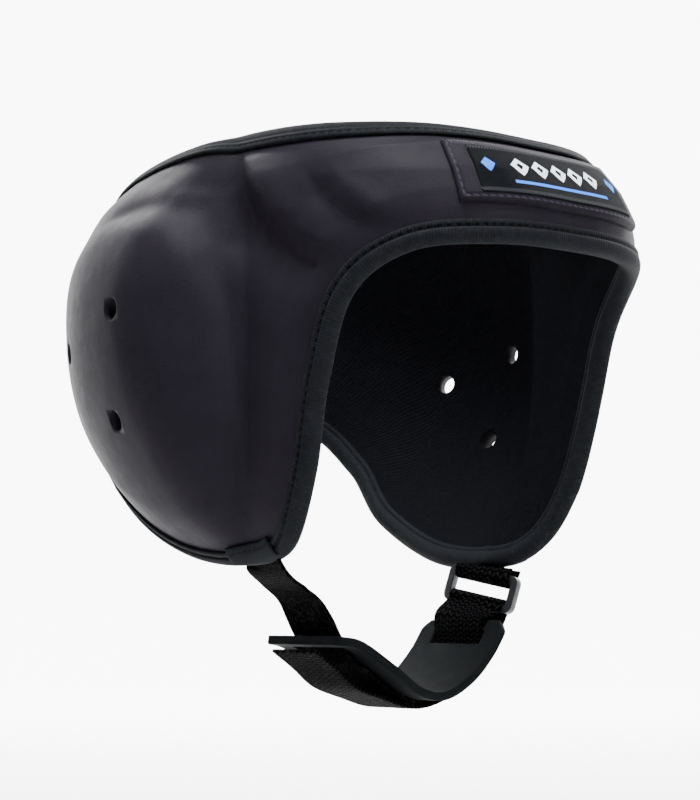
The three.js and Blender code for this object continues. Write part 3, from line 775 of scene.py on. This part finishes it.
def satin_label(name, colour, white, blue, half_width, half_height):
    """Satin woven label with a row of white lozenges over a thin blue line."""
    label = Finish(name, colour, roughness=0.6, ior=1.05)
    along, across = label.cloth_place()
    threads = across.wave(0.00045)
    sheen = label.noise(240, 2, (1, 1, 5))
    face = label.tone(threads * 0.4 + sheen * 0.6, colour, 0.75, 1.35)
    pitch = 0.0092
    cell = ((along / pitch + 0.5).math("FRACT") - 0.5).math("ABSOLUTE") * pitch
    rise = (across - half_height * 0.12).math("ABSOLUTE")
    lozenge = (cell * 0.9 + rise).between(0.0014, 0.0036)
    inner = along.between(-0.0232, 0.0232)
    thread_step = (along.share_of(0.0006) < 0.5) * 0.12 + 0.88
    face = label.mix_colour(lozenge * inner * thread_step, face, white)
    line = (across + half_height * 0.52).math("ABSOLUTE") < 0.0006
    face = label.mix_colour(line * inner * thread_step, face, blue)
    ends = (along.math("ABSOLUTE") - half_width + 0.0055).math("ABSOLUTE")
    chip = (ends + (across - 0.001).math("ABSOLUTE")) < 0.0028
    face = label.mix_colour(chip * thread_step, face, blue)
    hem_place = half_height - across.math("ABSOLUTE")
    hem = hem_place.between(0.0005, 0.0019)
    hem_threads = hem * (along + hem_place * 0.8).share_of(0.0012).between(0.2, 0.75)
    label.set("Base Color", label.mix_colour(hem_threads * 0.85, face, shade(white, 0.045)))
    label.set("Roughness", sheen * 0.15 + 0.52)
    label.bump(threads, 0.00008)
    label.bump((lozenge + line) * inner + hem_threads, 0.00014)
    return label.material


class GuardSizes(bpy.types.PropertyGroup):
    """Finish sizes of the ear guard."""

    puff: FloatProperty(
        name="Foam puff", description="How far the foam swells beside the tapes",
        default=0.0011, unit="LENGTH", precision=5)
    patch_round: FloatProperty(
        name="Patch edge", description="Width of the rounded edge of the forehead patch",
        default=0.0022, unit="LENGTH", precision=5)


class GuardColours(bpy.types.PropertyGroup):
    """Colours of the ear guard."""

    cloth: FloatVectorProperty(
        name="Cloth", description="Outer cloth of the shell", subtype="COLOR",
        default=(0.0058, 0.0049, 0.0074), min=0, max=1)
    lining: FloatVectorProperty(
        name="Lining", description="Brushed lining", subtype="COLOR",
        default=(0.0020, 0.0021, 0.0027), min=0, max=1)
    tape: FloatVectorProperty(
        name="Tape", description="Ribbed binding tape", subtype="COLOR",
        default=(0.0044, 0.0050, 0.0062), min=0, max=1)
    webbing: FloatVectorProperty(
        name="Webbing", description="Straps", subtype="COLOR",
        default=(0.0008, 0.0008, 0.0009), min=0, max=1)
    pad: FloatVectorProperty(
        name="Pad", description="Rubber chin pad", subtype="COLOR",
        default=(0.0018, 0.0023, 0.0027), min=0, max=1)
    label_weave: FloatVectorProperty(
        name="Label", description="Dark weave of the label", subtype="COLOR",
        default=(0.0022, 0.0026, 0.0032), min=0, max=1)
    label_white: FloatVectorProperty(
        name="Lozenges", description="White threads of the label", subtype="COLOR",
        default=(0.50, 0.54, 0.58), min=0, max=1)
    label_blue: FloatVectorProperty(
        name="Line", description="Blue threads of the label", subtype="COLOR",
        default=(0.022, 0.11, 0.46), min=0, max=1)
    buckle: FloatVectorProperty(
        name="Buckle", description="Moulded plastic", subtype="COLOR",
        default=(0.006, 0.0065, 0.0075), min=0, max=1)
    paper: FloatVectorProperty(
        name="Floor", description="Pale paper of the room", subtype="COLOR",
        default=(0.62, 0.62, 0.62), min=0, max=1)


def shell_wall(ramp):
    """Thickness of the foam, which thins out under the tapes."""
    return SHELL_EDGE_WALL + (SHELL_WALL - SHELL_EDGE_WALL) * ramp


def skin_shape(outer_height, inner_height):
    """A closed skin of the band between two heights over the shell's outer side."""
    stations = np.linspace(0, 2 * SIDE_ROWS, STATIONS + 1)
    shares = np.linspace(0, 1, SKIN_ROWS + 1)
    at, drop = column_places(stations[:, None], shares[None, :])
    low_at, low_drop = inward_place("low", stations, BEAD_RADIUS)
    top_at, top_drop = inward_place("top", stations, BEAD_RADIUS)
    at = np.concatenate([low_at[:, None], at, top_at[:, None]], 1)
    drop = np.concatenate([low_drop[:, None], drop, top_drop[:, None]], 1)
    rows = np.arange(SKIN_ROWS + 3)
    ramp = np.clip((np.minimum(rows, rows[::-1]) - 1) / EDGE_RAMP_ROWS, 0, 1)
    outer = offset_point(at, drop, outer_height(at, drop, ramp))
    points = ring(outer, offset_point(at, drop, inner_height(ramp)))
    points[-1] = points[0]
    around = lengths_along(outer[:, len(rows) // 2])
    up = np.array([lengths_along(column) for column in outer])
    up = ring(up, up)
    uvs = np.stack([np.broadcast_to(around[:, None], up.shape), up], -1)
    return shape_grid(points, uvs)


def apply_modifiers(piece):
    """Makes the modified mesh the piece's own mesh."""
    graph = bpy.context.evaluated_depsgraph_get()
    mesh = bpy.data.meshes.new_from_object(piece.evaluated_get(graph))
    piece.modifiers.clear()
    piece.data = mesh
    for face in mesh.polygons:
        face.use_smooth = True


def soften_edges(piece, width, segments, angle):
    """Rounds the edges of a piece that turn by more than an angle in degrees."""
    soft = piece.modifiers.new("soft_edge", "BEVEL")
    soft.width = width
    soft.segments = segments
    soft.limit_method = "ANGLE"
    soft.angle_limit = math.radians(angle)
    apply_modifiers(piece)


def cut_vents(piece, radius):
    """Cuts the round vent holes of both cups through a skin."""
    shape = bmesh.new()
    for side in (-1, 1):
        for left, right, drop in VENTS:
            azimuth = left if side > 0 else right
            point, normal, _, _ = surface_frame(np.array(side * azimuth), np.array(drop))
            turn = Vector(normal).to_track_quat("Z", "Y").to_matrix().to_4x4()
            bmesh.ops.create_cone(
                shape, cap_ends=True, segments=40, radius1=radius, radius2=radius, depth=0.04,
                matrix=Matrix.Translation(Vector(point)) @ turn)
    cutter = make_object(shape, "vent_cutter")
    modifier = piece.modifiers.new("vents", "BOOLEAN")
    modifier.object = cutter
    modifier.operation = "DIFFERENCE"
    modifier.solver = "EXACT"
    apply_modifiers(piece)
    bpy.data.objects.remove(cutter)


class EARGUARD_OT_shell(bpy.types.Operator):
    """Padded shell with its cups, soft folds and vent holes"""

    bl_idname = "ear_guard.shell"
    bl_label = "Padded shell"

    def execute(self, context):
        sizes, colours = context.scene.ear_guard_sizes, context.scene.ear_guard_colours
        shell = close_shape(skin_shape(
            lambda at, drop, ramp: sizes.puff * ramp + fold_depth(at, drop) * ramp,
            lambda ramp: -shell_wall(ramp)), "padded_shell")
        cut_vents(shell, VENT_RADIUS)
        finish_piece(shell, "shell", neoprene("shell_cloth", colours.cloth), "shell")
        return {"FINISHED"}


def lining_area():
    """Flat area of the lining, measured on the surface between the edges."""
    stations = np.linspace(0, 2 * SIDE_ROWS, AREA_STATIONS + 1)
    at, drop = column_places(stations[:, None], np.linspace(0, 1, AREA_ROWS + 1)[None, :])
    grid = offset_point(at, drop, -SHELL_WALL)
    across = np.diff(grid, axis=0)[:, :-1]
    along = np.diff(grid, axis=1)[:-1]
    return float(np.linalg.norm(np.cross(across, along), axis=2).sum())


class EARGUARD_OT_lining(bpy.types.Operator):
    """Brushed lining on the inner side of the shell"""

    bl_idname = "ear_guard.lining"
    bl_label = "Lining"

    def execute(self, context):
        lining = close_shape(skin_shape(
            lambda at, drop, ramp: -shell_wall(ramp) - CLEARANCE,
            lambda ramp: -shell_wall(ramp) - CLEARANCE - LINING_WALL), "cup_lining")
        cut_vents(lining, LINING_VENT_RADIUS)
        finish_piece(lining, "lining",
                     brushed_knit("lining_knit", context.scene.ear_guard_colours.lining), "lining")
        lining_area()
        return {"FINISHED"}


def binding_shape(edge):
    """Tape folded over an edge: a stitched lip on each side and a round bead past the edge."""
    stations = np.linspace(0, 2 * SIDE_ROWS, TAPE_STATIONS + 1)
    face = EDGE_DEPTH / 2 + TAPE_GAP
    bead = face + TAPE_WALL
    lip = [(distance, face + height) for distance, height in LIP_ROWS[edge]]
    arc = [(BEAD_RADIUS + bead * math.cos(turn), bead * math.sin(turn)) for turn in BEAD_TURNS]
    inner, end, fold = face - TAPE_TUCK, BINDING_LIP - TAPE_END, BEAD_RADIUS - TAPE_GAP
    outline = np.array(lip + arc + [(distance, -height) for distance, height in lip[::-1]]
                       + [(end, -inner), (fold, -inner), (fold, inner), (end, inner), lip[0]])
    points = np.stack([
        offset_point(*inward_place(edge, stations, distance), -EDGE_DEPTH / 2 + height)
        for distance, height in outline], 1)
    points[-1] = points[0]
    along = lengths_along(points[:, BEAD_MIDDLE_ROW])
    along *= round(along[-1] / STITCH_PITCH) * STITCH_PITCH / along[-1]
    return shape_grid(points, paired(along, lengths_along(outline)))


def tab_shape(side):
    """A short piece of tape over the bead of a flap, where a strap is sewn on."""
    rows = side * (STRAP_ROW + np.linspace(-TAB_REACH, TAB_REACH, TAB_COLUMNS + 1) / 3)
    distances = np.linspace(TAB_BOTTOM - TAB_TUCK, TAB_TOP, TAB_ROWS + 1)
    rise = EDGE_DEPTH / 2 + TAPE_GAP + TAPE_WALL + CLEARANCE
    top = np.stack([offset_point(
        *inward_place("low", rows, distance),
        -EDGE_DEPTH / 2 + rise + TAB_SWELL * math.sin(math.pi * share) - TAB_SWELL * share)
        for distance, share in zip(distances, np.linspace(0, 1, TAB_ROWS + 1))], 1)
    outwards = unit(surface_frame(*inward_place("low", rows, TAB_MIDDLE))[1])[:, None]
    along = np.linspace(0, WEBBING_WIDTH, TAB_COLUMNS + 1)
    return shape_grid(ring(top, top - outwards * TAPE_WALL),
                      paired(along, there_and_back(distances)))


class EARGUARD_OT_bindings(bpy.types.Operator):
    """Ribbed tapes round the crown and the face opening, with the folded strap tabs"""

    bl_idname = "ear_guard.bindings"
    bl_label = "Bindings"

    def execute(self, context):
        colour = context.scene.ear_guard_colours.tape
        tapes = {"low": ribbed_tape("face_binding_tape", colour, 0.0026, 0.00375),
                 "top": ribbed_tape("crown_binding_tape", colour, 0.0024)}
        for edge, name, node in (("top", "crown_tape", "crown_binding"),
                                 ("low", "face_tape", "face_binding")):
            piece = close_shape(binding_shape(edge), name)
            finish_piece(piece, "binding", tapes[edge], node)
        for side, name, node in ((-1, "tab_right", "strap_tab_right"),
                                 (1, "tab_left", "strap_tab_left")):
            piece = close_shape(tab_shape(side), name)
            finish_piece(piece, "binding", ribbed_tape(name + "_tape", colour, 0.0075), node)
        return {"FINISHED"}


def place_below_crown(azimuth, distances):
    """Drops at distances along the surface below the crown edge, for one azimuth."""
    at, drop = edge_place("top", np.linspace(0, SIDE_ROWS, 1201))
    start = float(np.interp(abs(azimuth), at, drop))
    drops = start + np.linspace(-0.02, 0.4, SEARCH_STEPS)
    along = lengths_along(outer_point(np.full(len(drops), azimuth), drops))
    along -= np.interp(start, drops, along)
    return np.interp(distances, along, drops)


def crowded(steps):
    """Shares from -1 to 1 that lie closer together towards both ends."""
    shares = np.linspace(-1, 1, steps + 1)
    return np.sign(shares) * (1 - (1 - np.abs(shares)) ** PATCH_CROWDING)


def forehead_sheet(name, half_width, from_crown, to_crown, height, edge, wall):
    """A sheet that follows the forehead, with rounded borders, as a closed slab."""
    across, down = crowded(PATCH_COLUMNS), crowded(PATCH_ROWS)
    azimuths = np.degrees((PATCH_SHIFT + half_width * across) / FOREHEAD_REACH)
    middle, reach = (from_crown + to_crown) / 2, (to_crown - from_crown) / 2
    drops = np.array([place_below_crown(azimuth, middle + reach * down) for azimuth in azimuths])
    lean = np.degrees(PATCH_LEAN * reach * down / FOREHEAD_REACH)
    places = azimuths[:, None] + lean[None, :]
    from_side = half_width * (1 - np.abs(across))[:, None]
    from_end = reach * (1 - np.abs(down))[None, :]
    near = np.clip(np.minimum(from_side, from_end) / edge, 0, 1)
    rounding = np.sqrt(np.clip(1 - (1 - near) ** 2, 0, 1))
    outer = offset_point(places, drops, height - wall + wall * rounding)
    inner = offset_point(places, drops, height - wall - PATCH_BACK)
    uvs = paired(half_width * across, there_and_back(-reach * down))
    return close_shape(shape_grid(ring(outer, inner), uvs), name)


class EARGUARD_OT_label(bpy.types.Operator):
    """Raised forehead patch with its woven label"""

    bl_idname = "ear_guard.label"
    bl_label = "Forehead patch and label"

    def execute(self, context):
        sizes, colours = context.scene.ear_guard_sizes, context.scene.ear_guard_colours
        top = BINDING_LIP + PATCH_DROP
        bottom = top + PATCH_HEIGHT
        seat = PATCH_SEAT + PATCH_WALL + sizes.puff
        patch = forehead_sheet("forehead_patch", PATCH_WIDTH / 2, top, bottom, seat,
                               sizes.patch_round, PATCH_WALL + PATCH_SINK)
        finish_piece(patch, "shell", patch_cloth("patch_cloth", colours.cloth), "label_patch")
        half = PATCH_WIDTH / 2 - LABEL_SIDE_MARGIN
        label_top, label_bottom = top + LABEL_TOP_MARGIN, bottom - LABEL_LOW_MARGIN
        label = forehead_sheet("woven_label", half, label_top, label_bottom,
                               seat + LABEL_WALL, LABEL_ROUND, LABEL_WALL + LABEL_SINK)
        finish_piece(label, "label", satin_label(
            "label_satin", colours.label_weave, colours.label_white, colours.label_blue, half,
            (label_bottom - label_top) / 2), "label")
        return {"FINISHED"}


def band_shape(rows, wall):
    """A flat band through rows, with softly rounded sides and closed ends."""
    line = curve_line([row[0] for row in rows], STRAP_STEPS)
    places = np.linspace(0, len(rows) - 1, len(line))
    twist, tilt, width = (through_rows([row[k] for row in rows], places) for k in (1, 2, 3))
    tangents = unit(np.gradient(line, axis=0))
    turns = [math.radians(turn) for turn in (-90, -45, 0, 45, 90)]
    sections = []
    for centre, tangent, turn, lean, wide in zip(line, tangents, twist, tilt, width):
        across = width_direction(turn, lean)
        thick = unit(np.cross(tangent, across))
        across = unit(np.cross(thick, tangent))
        inner = wide / 2 - wall / 2
        right = [(inner + wall / 2 * math.cos(a), wall / 2 * math.sin(a)) for a in turns]
        flat = [(inner * (1 - 2 * step / BAND_STEPS), wall / 2) for step in range(1, BAND_STEPS)]
        half = right + flat
        outline = half + [(-x, -y) for x, y in half] + right[:1]
        sections.append([centre + across * x + thick * y for x, y in outline])
    offsets = np.array([x for x, _ in outline])
    return shape_grid(np.array(sections), paired(lengths_along(line), offsets))


BAR_WRAP = BUCKLE_BAR * math.sqrt(0.5) + WEBBING_WALL / 2 + CLEARANCE / 2
TOP_BAR = anchor_point(1, BAR_WRAP + WEBBING_WALL / 2 + CLEARANCE)
BUCKLE_ACROSS = width_direction(BUCKLE_TWIST, BUCKLE_TILT)
BUCKLE_OUT = unit(np.cross(unit(np.array([0.2, 0, 1])), BUCKLE_ACROSS))
BUCKLE_OUT = BUCKLE_OUT * np.sign(BUCKLE_OUT[0])
BUCKLE_UP = unit(np.cross(BUCKLE_OUT, BUCKLE_ACROSS))
BUCKLE_UP = BUCKLE_UP * np.sign(BUCKLE_UP[2])
LOW_BAR = TOP_BAR - BUCKLE_UP * (BUCKLE_HEIGHT - BUCKLE_BAR)


def around_bar(bar, out, up):
    """A row of webbing beside a bar of the buckle."""
    return webbing_row(bar + BUCKLE_OUT * out * BAR_WRAP + BUCKLE_UP * up * BAR_WRAP,
                       BUCKLE_TWIST, BUCKLE_TILT)


def loop_end(out):
    """An end of the short loop, at the flap."""
    point = anchor_point(1, 3 * CLEARANCE) + BUCKLE_OUT * out * 0.95 * BAR_WRAP
    return webbing_row(point, BUCKLE_TWIST, BUCKLE_TILT)


def right_strap_rows():
    """Rows of the right strap, from the flap through the pad's slot to its end."""
    rows = [webbing_row(anchor_point(-1, below), STRAP_TURN)
            for below in (-STRAP_TUCK, STRAP_START)]
    rows += [webbing_row(strap_point(across, drop), STRAP_TURN * turn)
             for across, drop, turn in RIGHT_STRAP_BENDS]
    return rows + [webbing_row(layer_point(share, side * FIRST_UNDER))
                   for share, side in RIGHT_STRAP_PASS]


def long_strap_rows():
    """Rows of the long strap, from its tail under the pad, round the lower bar and back."""
    turned = (BUCKLE_TWIST / 3, BUCKLE_TILT / 3)
    rows = [webbing_row(layer_point(share, SECOND_UNDER + bow * TAIL_BOW))
            for share, bow in TAIL_ROWS]
    rows.append(webbing_row(layer_point(STRAP_LEAVE, SECOND_UNDER + WEBBING_WALL / 2), *turned))
    rows += [around_bar(LOW_BAR, out, up) for out, up in LOW_BAR_TURN]
    rows += [webbing_row(layer_point(STRAP_LAND, -FIRST_UNDER - SLOT_PASS), *turned),
             webbing_row(layer_point(STRAP_SINK, -FIRST_UNDER - SLOT_CLEAR)),
             webbing_row(layer_point(STRAP_CROSS, 0))]
    return rows + [webbing_row(layer_point(share, FIRST_UNDER)) for share in STRAP_END_ROWS]


def buckle_loop_rows():
    """Rows of the short loop, from the flap round the upper bar and back."""
    turn = [around_bar(TOP_BAR, out, up) for out, up in TOP_BAR_TURN]
    return [loop_end(1), *turn, loop_end(-1)]


class EARGUARD_OT_straps(bpy.types.Operator):
    """Right strap, buckle loop and the long chin strap with its tail"""

    bl_idname = "ear_guard.straps"
    bl_label = "Straps"

    def execute(self, context):
        colour = context.scene.ear_guard_colours.webbing
        plain = woven_webbing("strap_webbing", colour)
        fuzzy = woven_webbing("fastening_webbing", colour, 0.0185, 0.2)
        for name, rows, material, node in (
                ("right_strap", right_strap_rows(), fuzzy, "strap_right"),
                ("buckle_strap", buckle_loop_rows(), plain, "strap_loop_left"),
                ("long_strap", long_strap_rows(), plain, "chin_strap")):
            piece = close_shape(band_shape(rows, WEBBING_WALL), name)
            finish_piece(piece, "webbing", material, node)
            length = lengths_along(curve_line([row[0] for row in rows], STRAP_STEPS))[-1]
        return {"FINISHED"}


def pad_shape():
    """The pad's middle sheet with its two slots, a little narrower at its ends."""
    shares = np.linspace(0, 1, PAD_COLUMNS + 1)
    to_end = np.minimum(shares, 1 - shares) / PAD_END_SHARE
    narrow = np.where(
        to_end < 1, PAD_END_WIDTH + (1 - PAD_END_WIDTH) * np.sin(to_end * math.pi / 2), 1)
    centres = np.array([layer_point(share, 0) for share in shares])
    across = np.linspace(-1, 1, PAD_ROWS + 1)
    aside = across[None, :] * narrow[:, None] * PAD_WIDTH / 2
    points = centres[:, None] + aside[..., None] * np.array([0, -1, 0])
    shape = shape_grid(points, paired(shares * PAD_LENGTHS[-1], across * PAD_WIDTH / 2))
    half = (WEBBING_WIDTH / 2 + PAD_SLOT_SPARE) / (PAD_WIDTH / 2)
    layer = shape.loops.layers.uv["fabric"]
    in_slots = []
    for face in shape.faces:
        place = [loop[layer].uv for loop in face.loops]
        share = sum(uv.x for uv in place) / 4 / PAD_LENGTHS[-1]
        side = abs(sum(uv.y for uv in place) / 4) / (PAD_WIDTH / 2)
        if side < half and any(abs(share - middle) < reach for middle, reach in PAD_SLOTS):
            in_slots.append(face)
    bmesh.ops.delete(shape, geom=in_slots, context="FACES")
    bmesh.ops.recalc_face_normals(shape, faces=shape.faces)
    return shape


class EARGUARD_OT_pad(bpy.types.Operator):
    """Rubber chin pad with its two strap slots"""

    bl_idname = "ear_guard.pad"
    bl_label = "Chin pad"

    def execute(self, context):
        pad = make_object(pad_shape(), "rubber_pad")
        wall = pad.modifiers.new("wall", "SOLIDIFY")
        wall.thickness = PAD_WALL
        wall.offset = 0
        wall.use_even_offset = True
        soften_edges(pad, width=0.0006, segments=3, angle=30)
        finish_piece(pad, "pad", rubber_sheet("pad_rubber", context.scene.ear_guard_colours.pad),
                     "chin_pad")
        return {"FINISHED"}


class EARGUARD_OT_buckle(bpy.types.Operator):
    """Moulded rectangular loop with rounded bars"""

    bl_idname = "ear_guard.buckle"
    bl_label = "Buckle"

    def execute(self, context):
        shape = bmesh.new()
        shape.from_mesh(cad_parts["buckle"].data)
        bmesh.ops.remove_doubles(shape, verts=shape.verts, dist=1e-6)
        bmesh.ops.dissolve_limit(shape, angle_limit=math.radians(3), verts=shape.verts,
                                 edges=shape.edges)
        buckle = close_shape(shape, "moulded_buckle")
        soften_edges(buckle, width=0.0011, segments=4, angle=40)
        colour = context.scene.ear_guard_colours.buckle
        finish_piece(buckle, "buckle", moulded_plastic("buckle_plastic", colour), "buckle")
        return {"FINISHED"}


def add_camera(back):
    """The camera, at the photograph's place."""
    lens = bpy.data.cameras.new("camera")
    lens.sensor_width = SENSOR_WIDTH
    lens.lens = SENSOR_WIDTH * LENS_PER_SENSOR
    lens.shift_x = LENS_SHIFT
    lens.clip_start, lens.clip_end = 0.01, 40
    camera = bpy.data.objects.new("camera", lens)
    camera.location = VIEW_TARGET + back * VIEW_DISTANCE
    camera.rotation_euler = (-back).to_track_quat("-Z", "Y").to_euler()
    bpy.context.scene.collection.objects.link(camera)
    bpy.context.scene.camera = camera


def area_light(name, place, size, power, colour=(1, 1, 1), spread=180, target=LIGHT_TARGET):
    """A soft rectangular studio light that faces its target."""
    light = bpy.data.lights.new(name, "AREA")
    light.shape = "RECTANGLE"
    light.size, light.size_y = size
    light.energy = power
    light.spread = math.radians(spread)
    light.color = colour
    lamp = bpy.data.objects.new(name, light)
    lamp.location = place
    lamp.rotation_euler = (Vector(target) - Vector(place)).to_track_quat("-Z", "Y").to_euler()
    bpy.context.scene.collection.objects.link(lamp)


def add_lights(back):
    """The lights on the guard and on the backdrop, and an even glow."""
    right = Vector((math.cos(VIEW_AZIMUTH), math.sin(VIEW_AZIMUTH), 0))
    ahead = Vector((-back.x, -back.y, 0)).normalized()

    def spot(sideways, forward, height):
        return VIEW_TARGET + right * sideways + ahead * forward + Vector((0, 0, height))

    for name, place, size, power, colour, spread in LIGHTS:
        area_light(name, spot(*place), size, power, colour, spread)
    for side in (-1, 1):
        area_light("backdrop_light", spot(side * 1.3, 1.6, 1.9), (1.2, 0.8), BACKDROP_POWER,
                   target=spot(side * 0.4, 3.6, 0.1))
    world = bpy.data.worlds.new("studio")
    world.use_nodes = True
    background = world.node_tree.nodes["Background"]
    background.inputs["Color"].default_value = (1, 1, 1, 1)
    background.inputs["Strength"].default_value = ROOM_GLOW
    bpy.context.scene.world = world


def add_floor(colour):
    """A round room of pale paper, whose flat floor turns up into the wall."""
    profile = [(FLOOR_REACH * step / 4, 0) for step in range(4)]
    profile += [(FLOOR_REACH + FLOOR_TURN * math.sin(angle), FLOOR_TURN * (1 - math.cos(angle)))
                for angle in np.linspace(0, math.pi / 2, 12)]
    profile.append((FLOOR_REACH + FLOOR_TURN, FLOOR_TURN + WALL_HEIGHT))
    shape = bmesh.new()
    verts = [shape.verts.new((reach, 0, FLOOR_LEVEL + rise)) for reach, rise in profile]
    edges = [shape.edges.new(pair) for pair in zip(verts, verts[1:])]
    bmesh.ops.spin(shape, geom=verts + edges, cent=(0, 0, 0), axis=(0, 0, 1),
                   angle=2 * math.pi, steps=96, use_merge=True)
    bmesh.ops.remove_doubles(shape, verts=shape.verts, dist=1e-5)
    bmesh.ops.recalc_face_normals(shape, faces=shape.faces)
    if min(face.normal.z for face in shape.faces) < -0.5:
        bmesh.ops.reverse_faces(shape, faces=shape.faces)
    for face in shape.faces:
        face.smooth = True
    floor = make_object(shape, "pale_floor")
    paper = Finish("pale_paper", colour, roughness=0.95, ior=1.1)
    paper.bump(paper.noise(30, 2), 0.0001)
    floor.data.materials.append(paper.material)


class EARGUARD_OT_stage(bpy.types.Operator):
    """Camera, studio light and the pale floor with its rising backdrop"""

    bl_idname = "ear_guard.stage"
    bl_label = "Stage"

    def execute(self, context):
        back = Vector((math.sin(VIEW_AZIMUTH) * math.cos(VIEW_ELEVATION),
                       -math.cos(VIEW_AZIMUTH) * math.cos(VIEW_ELEVATION),
                       math.sin(VIEW_ELEVATION)))
        add_camera(back)
        add_lights(back)
        add_floor(context.scene.ear_guard_colours.paper)
        return {"FINISHED"}


OPERATORS = (
    EARGUARD_OT_stage,
    EARGUARD_OT_shell,
    EARGUARD_OT_lining,
    EARGUARD_OT_bindings,
    EARGUARD_OT_label,
    EARGUARD_OT_straps,
    EARGUARD_OT_pad,
    EARGUARD_OT_buckle,
)


class EARGUARD_PT_panel(bpy.types.Panel):
    """Lists the pieces of the ear guard"""

    bl_idname = "EARGUARD_PT_panel"
    bl_label = "Ear guard"
    bl_space_type = "VIEW_3D"
    bl_region_type = "UI"
    bl_category = "Ear guard"

    def draw(self, context):
        for group in (context.scene.ear_guard_sizes, context.scene.ear_guard_colours):
            for key in group.bl_rna.properties.keys():
                if key not in ("rna_type", "name"):
                    self.layout.prop(group, key)
        for operator in OPERATORS:
            self.layout.operator(operator.bl_idname)


CLASSES = (GuardSizes, GuardColours, *OPERATORS, EARGUARD_PT_panel)


def register():
    """Registers the classes and their settings."""
    for made in CLASSES:
        bpy.utils.register_class(made)
    bpy.types.Scene.ear_guard_sizes = PointerProperty(type=GuardSizes)
    bpy.types.Scene.ear_guard_colours = PointerProperty(type=GuardColours)


def unregister():
    """Removes the classes and their settings."""
    del bpy.types.Scene.ear_guard_sizes
    del bpy.types.Scene.ear_guard_colours
    for made in reversed(CLASSES):
        bpy.utils.unregister_class(made)


def main():
    """Builds the stage and every piece."""
    register()
    for operator in OPERATORS:
        group, name = operator.bl_idname.split(".")
        getattr(getattr(bpy.ops, group), name)()


if __name__ == "__main__":
    main()
